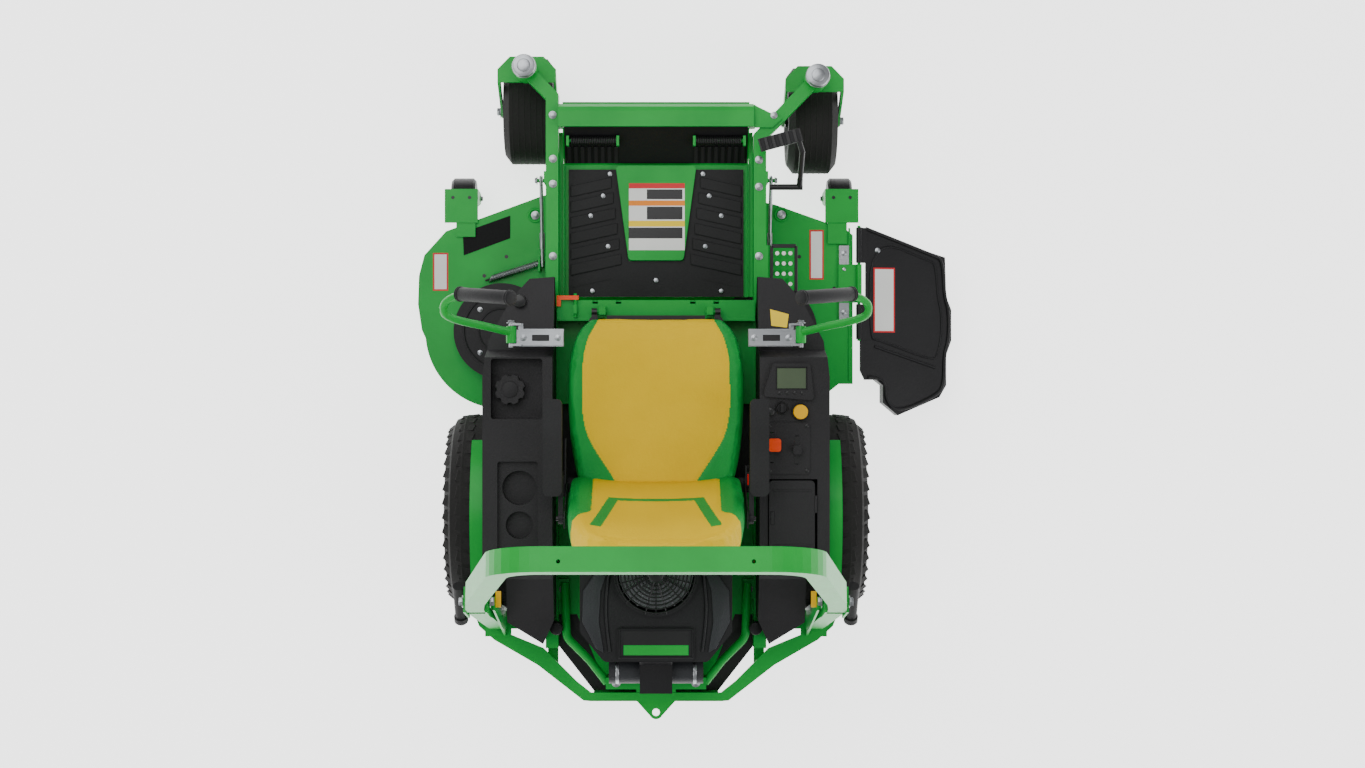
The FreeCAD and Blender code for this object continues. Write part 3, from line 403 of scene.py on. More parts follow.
def own(point):
    """A point in the mower's own centre-line coordinates."""
    return Vector((point.x - CENTRE_X, point.y - CENTRE_Y, point.z))


def inflate(obj, pressure, cap, voxel):
    """Blow a closed form up as sewn vinyl over foam, and keep the result."""
    take(obj)
    obj.data.remesh_voxel_size = voxel
    bpy.ops.object.voxel_remesh()
    rest = [v.co.copy() for v in obj.data.vertices]
    cloth = obj.modifiers.new("Foam", "CLOTH")
    cloth.settings.use_pressure = True
    cloth.settings.uniform_pressure_force = pressure
    cloth.settings.effector_weights.gravity = 0
    cloth.settings.quality = 5
    cloth.collision_settings.use_collision = False
    for number in range(1, 15):
        bpy.context.scene.frame_set(number)
    bpy.ops.object.modifier_apply(modifier=cloth.name)
    for vertex, home in zip(obj.data.vertices, rest):
        move = vertex.co - home
        if move.length > cap:
            vertex.co = home + move.normalized() * cap
    bpy.context.scene.frame_set(1)
    return obj


def two_tone(obj, test, rear=2.0):
    """Green vinyl where the test holds or the face looks rearward, yellow elsewhere."""
    obj.data.materials.append(FINISHES["vinyl_green"])
    for polygon in obj.data.polygons:
        green = test(own(polygon.center)) or polygon.normal.y > rear
        polygon.material_index = 1 if green else 0


def crease(obj, line, depth, width):
    """Press a sewn seam into the skin along where line(point) passes through zero."""
    for vertex in obj.data.vertices:
        away = abs(line(own(vertex.co)))
        if away < width:
            push = depth * (1 - away / width) ** 2
            vertex.co -= vertex.normal * push


def make_cushion():
    low, high = CUSHION
    start()
    bpy.ops.mesh.primitive_cube_add(size=1, location=(low + high) / 2)
    obj = bpy.context.object
    obj.scale = (high.x - low.x - 0.016, high.y - low.y - 0.016, high.z - low.z - 0.012)
    bpy.ops.object.transform_apply(location=True, rotation=True, scale=True)
    bpy.ops.object.mode_set(mode="EDIT")
    bpy.ops.mesh.select_all(action="SELECT")
    bpy.ops.mesh.subdivide(number_cuts=14)
    bpy.ops.object.mode_set(mode="OBJECT")
    outline = [(-0.2, 0.72), (-0.17, 0.84), (-0.11, 0.95), (-0.03, 1.0), (0.14, 0.98),
               (0.24, 0.9), (0.29, 0.84)]
    for vertex in obj.data.vertices:
        place = own(vertex.co)
        vertex.co.x = CENTRE_X + place.x * flowing(outline, place.y)
        vertex.co.y += 0.034 * max(0, min(1, (place.y - 0.16) / 0.1))
        across = abs(place.x) / SEAT_HALF
        if place.z > 0.62:
            dish = 0.022 * (1 - across ** 2) * (1 - abs(place.y - 0.05) / 0.3)
            vertex.co.z -= max(dish, 0)
            vertex.co.z -= 0.03 * max(0, (-0.12 - place.y) / 0.08) ** 2
    modify(obj, "BEVEL", width=0.02, segments=3, limit_method="ANGLE",
           angle_limit=math.radians(50))
    inflate(obj, 3.0, 0.007, 0.006)
    crease(obj, lambda p: abs(p.x) - flowing(YELLOW_EDGE, p.y) if p.z > 0.62 else 1,
           0.004, 0.009)
    modify(obj, "SUBSURF", levels=1, render_levels=1)
    settle(obj, "seat_cushion_cover", "vinyl", "seat", 60)
    two_tone(obj, lambda p: abs(p.x) > flowing(YELLOW_EDGE, p.y) and p.z > 0.58)
    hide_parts("seat_cushion")


def back_band(p):
    """How far a point of the back is inside the green inverted U."""
    half = 0.121 + 0.265 * (p.z - 0.775)
    if p.z > 0.775 and p.z < 0.96:
        leg = 0.0155 - abs(abs(p.x) - half)
        return max(leg, 0.012 - abs(p.z - 0.779) if abs(p.x) < half else -1)
    return -1


def back_wing(p):
    """The green sides of the back, which run out towards the top."""
    return abs(p.x) > 0.184 + 0.9 * max(0, p.z - 0.87) and p.z < 1.0


def make_back():
    low, high = BACK
    start()
    bpy.ops.mesh.primitive_cube_add(size=1, location=(low + high) / 2)
    obj = bpy.context.object
    obj.scale = (high.x - low.x - 0.012, 0.064, high.z - low.z - 0.014)
    bpy.ops.object.transform_apply(location=True, rotation=True, scale=True)
    bpy.ops.object.mode_set(mode="EDIT")
    bpy.ops.mesh.select_all(action="SELECT")
    bpy.ops.mesh.subdivide(number_cuts=16)
    bpy.ops.object.mode_set(mode="OBJECT")
    centre = own((low + high) / 2)
    outline = [(0.58, 0.9), (0.66, 0.98), (0.8, 1.0), (0.92, 0.97), (1.0, 0.86),
               (1.05, 0.72), (1.08, 0.52)]
    lean = [(0.58, 0.325), (0.664, 0.324), (0.72, 0.345), (1.02, 0.470), (1.08, 0.482)]
    for vertex in obj.data.vertices:
        place = own(vertex.co)
        front = place.y < centre.y
        vertex.co.x = CENTRE_X + place.x * flowing(outline, place.z)
        depth = place.y - centre.y
        across = abs(place.x) / SEAT_HALF
        wing = 0.034 * across ** 3 * min(1, (1.06 - across) * 5) if front else 0
        vertex.co.y = CENTRE_Y + between(lean, place.z) + depth - wing
    modify(obj, "BEVEL", width=0.02, segments=3, limit_method="ANGLE",
           angle_limit=math.radians(50))
    inflate(obj, 3.0, 0.006, 0.006)
    crease(obj, lambda p: abs(p.x) - 0.184 - 0.9 * max(0, p.z - 0.87), 0.004, 0.009)
    modify(obj, "SUBSURF", levels=1, render_levels=1)
    settle(obj, "seat_back_cover", "vinyl", "seat", 60)
    two_tone(obj, lambda p: back_wing(p) or back_band(p) > 0, 0.6)
    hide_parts("seat_back")


def make_belt():
    """Lap belt: a webbing loop with its stalk on the left of the seat."""
    strap = join([rounded_block(at(0.262, 0.16 + n * 0.03, 0.64 + n * 0.005),
                                at(0.2665, 0.20 + n * 0.03, 0.672 + n * 0.005), 0.001)
                  for n in range(4)])
    settle(strap, "belt_webbing", "mat", "seat")
    reel = rounded_block(at(0.264, 0.27, 0.6), at(0.286, 0.33, 0.65), 0.006)
    settle(reel, "belt_reel", "foam", "seat")


# ------------------------------------------------------------------ wheels
def tread_block(length, width, height):
    start()
    bpy.ops.mesh.primitive_cube_add(size=1)
    obj = bpy.context.object
    obj.scale = (width, length, height)
    bpy.ops.object.transform_apply(location=True, rotation=True, scale=True)
    return modify(obj, "BEVEL", width=0.0012, segments=1, limit_method="NONE")


def make_rear_tread():
    """Turf tread: five staggered rows of blunt blocks round each rear tyre."""
    for side, s in SIDES.items():
        low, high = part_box("rear_tyre_" + side)
        centre = (low + high) / 2
        radius = (high.z - low.z) / 2
        width = high.x - low.x
        rows = [(-0.42, 0.030, -0.030, 0.4), (-0.24, 0.036, -0.0035, 0.2),
                (0.0, 0.034, -0.0035, -0.3), (0.24, 0.036, -0.0035, -0.2),
                (0.42, 0.030, -0.030, -0.4)]
        parts = []
        for number, (share, length, drop, skew) in enumerate(rows):
            block = tread_block(length, width * 0.19, 0.010)
            moves = []
            for n in range(38):
                angle = 2 * math.pi * (n + 0.5 * (number % 2)) / 38
                cant = share * 1.5 if abs(share) > 0.3 else share * 0.5
                local = (Matrix.Translation((share * width, 0, radius + drop - 0.0016))
                         @ Matrix.Rotation(cant, 4, "Y") @ Matrix.Rotation(skew, 4, "Z"))
                moves.append(Matrix.Translation(centre)
                             @ Matrix.Rotation(angle, 4, "X") @ local)
            parts.append(copies(block, moves))
        settle(join(parts), "rear_tread_" + side, "tyre", "rear_wheel_" + side, 30)
        hub = centre + Vector((s * 0.0, 0, 0))
        nuts = []
        for n in range(5):
            angle = 2 * math.pi * n / 5
            spot = hub + Vector((-s * 0.0095 + s * 0.0005, 0.057 * math.cos(angle),
                                 0.057 * math.sin(angle)))
            nuts.append(hex_bolt(spot, 0.02, (s, 0, 0)))
        cap = turned_pin(hub + Vector((0, 0, 0)), hub + Vector((s * 0.012, 0, 0)), 0.03,
                         32, 0.004)
        settle(join(nuts), "rear_nuts_" + side, "zinc", "rear_wheel_" + side)
        settle(cap, "hub_cap_" + side, "satin", "rear_wheel_" + side)
        rings = [ring(hub + Vector((s * width * 0.484, 0, 0)), (1, 0, 0), r, 0.0022, 96)
                 for r in (radius * 0.62, radius * 0.68)]
        settle(join(rings), "rear_sidewall_rings_" + side, "tyre", "rear_wheel_" + side)


def make_caster_details():
    for side in SIDES:
        low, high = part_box("caster_tyre_" + side)
        centre = (low + high) / 2
        radius = (high.z - low.z) / 2
        width = high.x - low.x
        ribs = [ring(centre + Vector((share * width, 0, 0)), (1, 0, 0), radius - 0.003,
                     0.004, 96) for share in (-0.3, -0.18, -0.06, 0.06, 0.18, 0.3)]
        settle(join(ribs), "caster_ribs_" + side, "tyre", "caster_wheel_" + side)
        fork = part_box("caster_fork_" + side)
        ends = []
        for q, x in ((1, fork[1].x), (-1, fork[0].x)):
            spot = Vector((x - q * 0.0125, centre.y, centre.z))
            ends.append(hex_bolt(spot, 0.026, (q, 0, 0)))
        settle(join(ends), "caster_axle_nuts_" + side, "zinc", "fork_" + side)
        pivot = {"left": (0.397, -0.956), "right": (-0.487, -0.927)}[side]
        top = at(*pivot, 0.5)
        cap = turned_pin(top - Vector((0, 0, 0.017)), top + Vector((0, 0, 0.003)), 0.0345,
                         48, 0.004)
        crown = turned_pin(top, top + Vector((0, 0, 0.0062)), 0.02, 40, 0.003)
        lip = ring(top + Vector((0, 0, -0.016)), (0, 0, 1), 0.0345, 0.0022)
        settle(join([cap, crown, lip]), "caster_dust_cap_" + side, "zinc", "chassis")


# ------------------------------------------------------------------ foot area
def lean_on_toe_board(obj, place):
    """Tip a piece made flat at the centre line over, and move it to its place."""
    obj.data.transform(Matrix.Translation(place) @ TOE_BOARD_TILT @ Matrix.Translation(-at(0, 0)))
    return obj


def make_mat_details():
    """Raised chevrons, cut edges and button studs moulded into the foot mat."""
    studs = [(0.162, -0.577), (0.2, -0.516), (0.147, -0.422), (-0.163, -0.577),
             (-0.2, -0.516), (-0.151, -0.422), (0, -0.318), (0.195, -0.285),
             (-0.2, -0.285), (0.141, -0.644), (-0.144, -0.644)]
    parts = []
    for x, y in studs:
        button = turned_pin(at(x, y, 0.351), at(x, y, 0.3575), 0.0075, 20, 0.002)
        parts.append(button)
    settle(join(parts), "mat_studs", "zinc", "chassis")
    ribs = []
    for n in range(9):
        y = -0.635 + 0.047 * n
        inner = 0.136 - 0.006 * n if y < -0.375 else 0.004
        for s in (1, -1):
            points = [(s * inner, y), (s * 0.262, y + 0.22 * (0.262 - inner)),
                      (s * 0.262, y + 0.22 * (0.262 - inner) + 0.034), (s * inner, y + 0.034)]
            if points[2][1] < -0.272:
                ribs.append(cut_sheet(points if s > 0 else points[::-1], 0.3505, 0.0052,
                                      0.0024))
    settle(join(ribs), "mat_chevrons", "mat", "chassis", 0)
    pads = []
    for s in (1, -1):
        for n in range(8):
            x = s * (0.122 + 0.0205 * n)
            pads.append(rounded_block(at(x - 0.0065, -0.032, 0), at(x + 0.0065, 0.032, 0.007),
                                      0.002, 1))
    pad = lean_on_toe_board(join(pads), at(0, -0.703, 0.3735))
    settle(pad, "toe_pads", "mat", "chassis", 0)
    panel = rounded_block(at(-0.279, -0.075, 0), at(0.279, 0.068, 0.0022), 0.001, 1)
    lean_on_toe_board(panel, at(0, -0.727, 0.394))
    settle(panel, "toe_panel", "rubber_cover", "chassis", 0)


def make_toe_springs(wire):
    """A close-wound coil each side, over its rod."""
    for side, s in SIDES.items():
        turns = 26
        points = []
        for n in range(turns * 8):
            angle = 2 * math.pi * n / 8
            x = s * (0.122 + 0.138 * n / (turns * 8))
            points.append(at(x, -0.738 + 0.0125 * math.cos(angle),
                             0.424 + 0.0125 * math.sin(angle)))
        smooth_tube("toe_spring_" + side, points, wire, "satin", "chassis")


def make_labels():
    """Blank film labels where the real mower has printed ones."""
    stack = [("red_label", -0.615, -0.599), ("white_label", -0.599, -0.562),
             ("orange_label", -0.562, -0.546), ("white_label", -0.546, -0.5),
             ("yellow_label", -0.5, -0.482), ("white_label", -0.482, -0.41)]
    for n, (paint, y0, y1) in enumerate(stack):
        sheet = cut_sheet([(-0.088, y0), (0.083, y0), (0.083, y1), (-0.088, y1)], 0.362,
                          0.0006)
        settle(sheet, "centre_label_%d" % n, paint, "chassis", 0)
    dark = [(-0.596, -0.566, 0.028), (-0.543, -0.504, 0.028), (-0.479, -0.446, 0.084)]
    blocks = [cut_sheet([(-0.081, a), (c, a), (c, b), (-0.081, b)], 0.3626, 0.0003)
              for a, b, c in dark]
    settle(join(blocks), "centre_label_dark", "satin", "chassis", 0)
    places = [("deck_label_left", 0.653, 0.701, -0.412, -0.293, 0.190),
              ("deck_label_right", -0.527, -0.482, -0.484, -0.328, 0.190)]
    for name, x0, x1, y0, y1, z in places:
        rim = cut_sheet([(x0, y0), (x1, y0), (x1, y1), (x0, y1)], z, 0.0005)
        settle(rim, name + "_border", "red_label", "deck", 0)
        inner = cut_sheet([(x0 + 0.005, y0 + 0.005), (x1 - 0.005, y0 + 0.005),
                           (x1 - 0.005, y1 - 0.005), (x0 + 0.005, y1 - 0.005)],
                          z + 0.0003, 0.0005)
        settle(inner, name, "white_label", "deck", 0)
    grip = cut_sheet([(0.607, -0.476), (0.604, -0.404), (0.458, -0.458), (0.458, -0.529)],
                     0.19, 0.0012)
    settle(grip, "deck_grit_pad", "grit", "deck", 0)
    lid = cut_sheet([(-0.094, 0.716), (0.094, 0.716), (0.094, 0.786), (-0.094, 0.786)],
                    0.728, 0.0006)
    settle(lid, "engine_label", "satin", "chassis", 0)
    tile("engine_label_stripe", at(-0.094, 0.756, 0.7282), at(0.094, 0.785, 0.7292), 0.0003,
         "green", "chassis")


# ------------------------------------------------------------------ deck
def make_deck_details():
    hinge_low, hinge_high = at(-0.606, -0.435, 0.197), at(-0.574, -0.202, 0.1995)
    strip = rounded_block(hinge_low, hinge_high, 0.0008, 1)
    settle(strip, "chute_hinge_plate", "zinc", "deck", 0)
    spots = [at(-0.59, y, 0.1995) for y in (-0.41, -0.36, -0.28, -0.225)]
    bolts("chute_hinge_bolts", spots, "deck", 0.012)
    spots = [at(x, y, 0.19) for x, y in ((0.379, -0.53), (-0.394, -0.532))]
    cups = join([ring(s + Vector((0, 0, 0.001)), (0, 0, 1), 0.02, 0.004, 32) for s in spots])
    settle(cups, "deck_bolt_cups", "green", "deck")
    bolts("deck_front_bolts", spots, "deck", 0.02)
    # Painted shade: thin satin black discs on the deck top stand for the shade down inside its
    # holes.
    holes = [(0.43, -0.36), (0.47, -0.40), (0.54, -0.34), (0.60, -0.24), (-0.45, -0.40),
             (-0.56, -0.3)]
    dark = join([turned_pin(at(x, y, 0.1896), at(x, y, 0.1906), 0.006, 20)
                 for x, y in holes])
    settle(dark, "deck_hole_painted_shade", "satin", "deck", 0)
    coil = []
    for n in range(30 * 8):
        share, angle = n / 240, 2 * math.pi * n / 8
        coil.append(at(0.518 - 0.157 * share + 0.0035 * math.cos(angle),
                       -0.330 - 0.05 * share + 0.0115 * math.cos(angle),
                       0.206 + 0.0115 * math.sin(angle)))
    smooth_tube("belt_spring", coil, 0.0016, "zinc", "deck")
    hooks = [at(0.535, -0.3246, 0.200), at(0.518, -0.330, 0.206), at(0.361, -0.380, 0.206),
             at(0.345, -0.385, 0.200)]
    smooth_tube("belt_spring_hooks", hooks, 0.003, "satin", "deck")
    # Painted shade: thin satin black discs on the scalp wheel brackets stand for the shade inside
    # their holes.
    wheel = [at(x, -0.585, 0.202) for x in (0.585, 0.637, -0.557, -0.609)]
    dark = join([turned_pin(p, p + Vector((0, 0, 0.0006)), 0.0055, 20) for p in wheel])
    settle(dark, "bracket_hole_painted_shade", "satin", "deck", 0)
    for side, s in SIDES.items():
        low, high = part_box("scalp_wheel_" + side)
        centre = (low + high) / 2
        radius, width = (high.z - low.z) / 2, high.x - low.x
        rims = [ring(centre + Vector((q * width * 0.36, 0, 0)), (1, 0, 0),
                     radius - 0.0035, 0.003, 64) for q in (-1, 1)]
        settle(join(rims), "scalp_wheel_rims_" + side, "rubber_cover", "scalp_" + side)
        nuts = [hex_bolt(centre + Vector((q * 0.052, 0, 0)), 0.016, (q, 0, 0))
                for q in (-1, 1)]
        settle(join(nuts), "scalp_axle_nuts_" + side, "zinc", "deck")
    rims = [rounded_block(at(-0.424, y - 0.006, 0.4365), at(-0.35, y + 0.006, 0.4395), 0.001, 1)
            for y in (-0.418, -0.276)]
    rims += [rounded_block(at(x - 0.005, -0.418, 0.4365), at(x + 0.005, -0.276, 0.4395),
                           0.001, 1) for x in (-0.424, -0.35)]
    settle(join(rims), "step_edge", "satin", "chassis", 0)
    dots = [turned_pin(at(x, y, 0.4362), at(x, y, 0.437), 0.0062, 16)
            for x in (-0.407, -0.387, -0.367) for y in (-0.396, -0.365, -0.334, -0.303)]
    settle(join(dots), "step_holes", "white_label", "chassis", 0)
    tile("deck_edge_bead", at(-0.61, -0.49, 0.19), at(-0.604, -0.01, 0.1935), 0.001,
         "green", "deck")
    cover_bolts = []
    for x, y in ((0.482, -0.165), (-0.353, -0.165)):
        disc = ring(at(x, y, 0.2375), (0, 0, 1), 0.118, 0.004, 72)
        inner = ring(at(x, y, 0.2375), (0, 0, 1), 0.07, 0.003, 64)
        settle(join([disc, inner]), "cover_rings_%s" % ("left" if x > 0 else "right"),
               "black", "deck")
        for n in range(4):
            a = math.pi / 4 + n * math.pi / 2
            cover_bolts.append(at(x + 0.095 * math.cos(a), y + 0.095 * math.sin(a), 0.237))
    bolts("belt_cover_bolts", cover_bolts, "deck", 0.012)


def on_chute(x, y, lift):
    """A point on the sloping top of the chute."""
    hinge = at(-0.636, 0, 0.206)
    out = -0.636 - x
    slope = math.radians(13.3)
    down = Vector((-math.cos(slope), 0, -math.sin(slope)))
    up = Vector((-math.sin(slope), 0, math.cos(slope)))
    base = Vector((hinge.x, CENTRE_Y + y, hinge.z))
    return base + down * out + up * (lift - 0.006)


def chute_plate(name, points, lift, thick, paint):
    sheet = cut_sheet(points, 0, thick)
    for vertex in sheet.data.vertices:
        place = own(vertex.co)
        vertex.co = on_chute(place.x, place.y, lift + place.z)
    return settle(sheet, name, paint, "discharge_chute", 0)


def make_chute_details():
    chute_plate("chute_label_border", [(-0.686, -0.366), (-0.757, -0.366), (-0.757, -0.162),
                                       (-0.686, -0.162)], 0.0, 0.0007, "red_label")
    chute_plate("chute_label", [(-0.691, -0.361), (-0.752, -0.361), (-0.752, -0.167),
                                (-0.691, -0.167)], 0.0005, 0.0006, "white_label")
    edge = [(-0.66, -0.488), (-0.887, -0.406), (-0.917, -0.392), (-0.922, -0.277),
            (-0.937, -0.235), (-0.937, -0.14), (-0.921, -0.092), (-0.921, 0.0),
            (-0.9, 0.035), (-0.768, 0.09), (-0.727, 0.055), (-0.725, -0.002),
            (-0.699, -0.021), (-0.668, -0.021)]
    smooth_tube("chute_rolled_rim", [on_chute(x, y, 0.0005) for x, y in edge], 0.006,
                "rubber_cover", "discharge_chute")
    panel = [(-0.674, -0.462), (-0.87, -0.39), (-0.893, -0.38), (-0.9, -0.27),
             (-0.912, -0.23), (-0.912, -0.145), (-0.9, -0.1), (-0.89, -0.07),
             (-0.7, -0.14), (-0.674, -0.14)]
    smooth_tube("chute_panel_bead", [on_chute(x, y, 0.0) for x, y in panel], 0.0035,
                "rubber_cover", "discharge_chute", closed=True)
    bolts("chute_screw", [on_chute(-0.7, -0.42, 0.0)], "discharge_chute", 0.012)


# ------------------------------------------------------------------ frame
def make_frame_details():
    spots = [(0.313, -0.815), (0.312, -0.682), (0.312, -0.606), (-0.312, -0.679),
             (-0.312, -0.597), (-0.312, -0.387), (0.312, -0.387)]
    bolts("rail_bolts", [at(x, y, 0.436) for x, y in spots], "chassis", 0.018)
    spots = [(-0.357, -0.813), (-0.375, -0.795)]
    bolts("gusset_bolts", [at(x, y, 0.444) for x, y in spots[:1]], "chassis", 0.016)
    spots = [(0.12, 0.9), (0.03, 0.9), (-0.03, 0.9), (-0.12, 0.9)]
    bolts("rear_cross_bolts", [at(x, y, 0.47) for x, y in spots], "chassis", 0.02)
    spots = [at(s * 0.281, 0.62, 0.44) for s in (1, -1)]
    knobs = []
    for s in (1, -1):
        knobs.append(turned_pin(at(s * 0.3, 0.735, 0.452), at(s * 0.3, 0.735, 0.49), 0.02,
                                24, 0.006))
        knobs.append(turned_pin(at(s * 0.3, 0.735, 0.436), at(s * 0.3, 0.735, 0.454), 0.008))
    settle(join(knobs), "rear_knobs", "black", "chassis")
    bolts("hinge_plate_bolts", spots, "chassis", 0.018)
    for side, s in SIDES.items():
        pin_y, pin_z = 0.612, 0.9
        ends = [hex_bolt(at(s * 0.543, pin_y, pin_z), 0.026, (s, 0, 0)),
                hex_bolt(at(s * 0.467, pin_y, pin_z), 0.026, (-s, 0, 0))]
        settle(join(ends), "roll_bar_pin_nuts_" + side, "zinc", "chassis")
        tag = rounded_block(at(s * 0.44, 0.588, 0.846), at(s * 0.456, 0.634, 0.85), 0.001)
        settle(tag, "roll_bar_tag_" + side, "yellow", "chassis", 0)
        collar = ring(at(s * 0.354, -0.627, 0.32), (1, 0, 0), 0.0128, 0.003, 28)
        settle(collar, "draft_rod_collar_" + side, "zinc", "rod_" + side)
        nut = hex_bolt(at(s * 0.3655, -0.627, 0.32), 0.018, (s, 0, 0))
        settle(nut, "draft_rod_nut_" + side, "zinc", "chassis")
        drum = turned_pin(at(s * 0.354, -0.47, 0.26), at(s * 0.354, -0.42, 0.246), 0.0085,
                          20, 0.002)
        settle(drum, "draft_rod_turnbuckle_" + side, "zinc", "rod_" + side)


def make_levers(grip):
    for side, s in SIDES.items():
        body = "bar_" + side
        path = [(0.42, -0.15, 0.716), (0.44, -0.154, 0.735), (0.49, -0.166, 0.79),
                (0.545, -0.176, 0.842), (0.592, -0.19, 0.884), (0.6, -0.208, 0.902),
                (0.592, -0.232, 0.918), (0.55, -0.25, 0.942), (0.47, -0.246, 1.015),
                (0.395, -0.235, 1.085)]
        bar = smooth_tube("lap_bar_tube_" + side, [at(s * x, y, z) for x, y, z in path],
                          0.0112, "green", body)
        hub = turned_pin(at(s * 0.42, -0.168, 0.715), at(s * 0.42, -0.118, 0.715), 0.015,
                         32, 0.003)
        settle(hub, "lap_bar_hub_" + side, "green", body)
        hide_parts("lap_bar_" + side)
        a, b = at(s * 0.552, -0.252, 0.939), at(s * 0.392, -0.235, 1.088)
        way = (b - a).normalized()
        sleeve = turned_pin(a, b, grip, 28, 0.005)
        collars = [ring(a + way * d, way, grip - 0.0005, 0.0026, 32)
                   for d in (0.004, 0.01, 0.205, 0.213)]
        settle(join([sleeve] + collars), "lever_grip_" + side, "foam", body)
        hub_bolt = hex_bolt(at(s * 0.42, -0.176, 0.715), 0.02, (0, -1, 0))
        settle(hub_bolt, "lever_hub_bolt_" + side, "zinc", "lever_" + side)
        plate = rounded_block(at(s * 0.268, -0.159, 0.706), at(s * 0.412, -0.11, 0.7095),
                              0.0015, 1)
        settle(plate, "lever_bracket_cap_" + side, "zinc", "lever_" + side, 0)
        spots = [at(s * x, -0.134, 0.7095) for x in (0.285, 0.385)]
        bolts("lever_bracket_bolts_" + side, spots, "lever_" + side, 0.014)
        # Painted shade: a thin satin black strip on the bracket cap stands for the shade inside
        # its slot.
        slot = rounded_block(at(s * 0.31, -0.143, 0.7092), at(s * 0.36, -0.125, 0.7104),
                             0.0005, 1)
        settle(slot, "lever_bracket_slot_shade_" + side, "satin", "lever_" + side, 0)


# ------------------------------------------------------------------ controls
def make_controls():
    tile("display_window", at(-0.436, -0.046, 0.6985), at(-0.352, 0.013, 0.7), 0.0006,
         "screen", "chassis")
    keys = join([turned_pin(at(-0.36 - 0.022 * n, 0.026, 0.703), at(-0.36 - 0.022 * n, 0.026,
                 0.7065), 0.0055, 20, 0.001) for n in range(4)])
    settle(keys, "display_keys", "satin", "chassis")
    dial = turned_pin(at(-0.333, 0.08, 0.69), at(-0.333, 0.08, 0.703), 0.012, 28, 0.002)
    settle(dial, "light_switch", "satin", "chassis")
    bezel = join([ring(at(-0.366, 0.07, 0.692), (0, 0, 1), 0.017, 0.0025),
                  ring(at(-0.42, 0.081, 0.692), (0, 0, 1), 0.023, 0.003)])
    settle(bezel, "switch_bezels", "satin", "chassis")
    grip = join([ring(at(-0.42, 0.081, z), (0, 0, 1), 0.0195, 0.0018, 40)
                 for z in (0.698, 0.704, 0.71)])
    settle(grip, "pto_knob_ribs", "yellow", "pto_switch")
    # Painted shade: thin satin black strips on the panel stand for the shade down inside the
    # lever slots.
    slots = [rounded_block(at(x, y0, 0.6955), at(x + 0.013, y1, 0.6968), 0.0004, 1)
             for x, y0, y1 in ((-0.3435, 0.142, 0.228), (-0.4165, 0.152, 0.232))]
    settle(join(slots), "lever_slot_painted_shade", "satin", "chassis", 0)
    corners = [at(x, y, 0.696) for x in (-0.331, -0.439) for y in (0.122, 0.252)]
    bolts("panel_screws", corners, "chassis", 0.008, paint="satin")
    label = cut_sheet([(-0.337, -0.221), (-0.392, -0.206), (-0.386, -0.166), (-0.34, -0.172)],
                      0.0, 0.0008)
    for vertex in label.data.vertices:
        place = own(vertex.co)
        vertex.co.z = place.z + 0.6015 + (place.y + 0.2) * 0.22
    settle(label, "console_label", "yellow_label", "chassis", 0)
    knob = turned_pin(at(0.402, -0.245, 0.585), at(0.402, -0.245, 0.612), 0.02, 8, 0.004)
    settle(knob, "park_knob", "satin", "chassis")
    low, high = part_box("fuel_cap")
    top = Vector(((low.x + high.x) / 2, (low.y + high.y) / 2, high.z))
    crown = turned_pin(top, top + Vector((0, 0, 0.004)), 0.024, 40, 0.002)
    settle(crown, "fuel_cap_crown", "black", "tank_cap")
    ribs = [rounded_block(at(-0.452, y - 0.003, 0.6965), at(-0.34, y + 0.003, 0.6985),
                          0.0008, 1) for y in (0.31, 0.47)]
    latch = rounded_block(at(-0.345, 0.37, 0.6965), at(-0.333, 0.41, 0.7), 0.0015, 1)
    settle(join(ribs + [latch]), "storage_lid_ribs", "black", "lid", 0)
    treads = []
    for n in range(6):
        x = -0.062 + 0.022 * n
        treads.append(rounded_block((x, -0.019, 0), (x + 0.012, 0.019, 0.006), 0.0015, 1))
    pad = join(treads)
    pad.data.transform(Matrix.Translation(at(-0.373, -0.732, 0.5055))
                       @ Matrix.Rotation(math.radians(15), 4, "Z"))
    settle(pad, "pedal_treads", "foam", "pedal", 0)


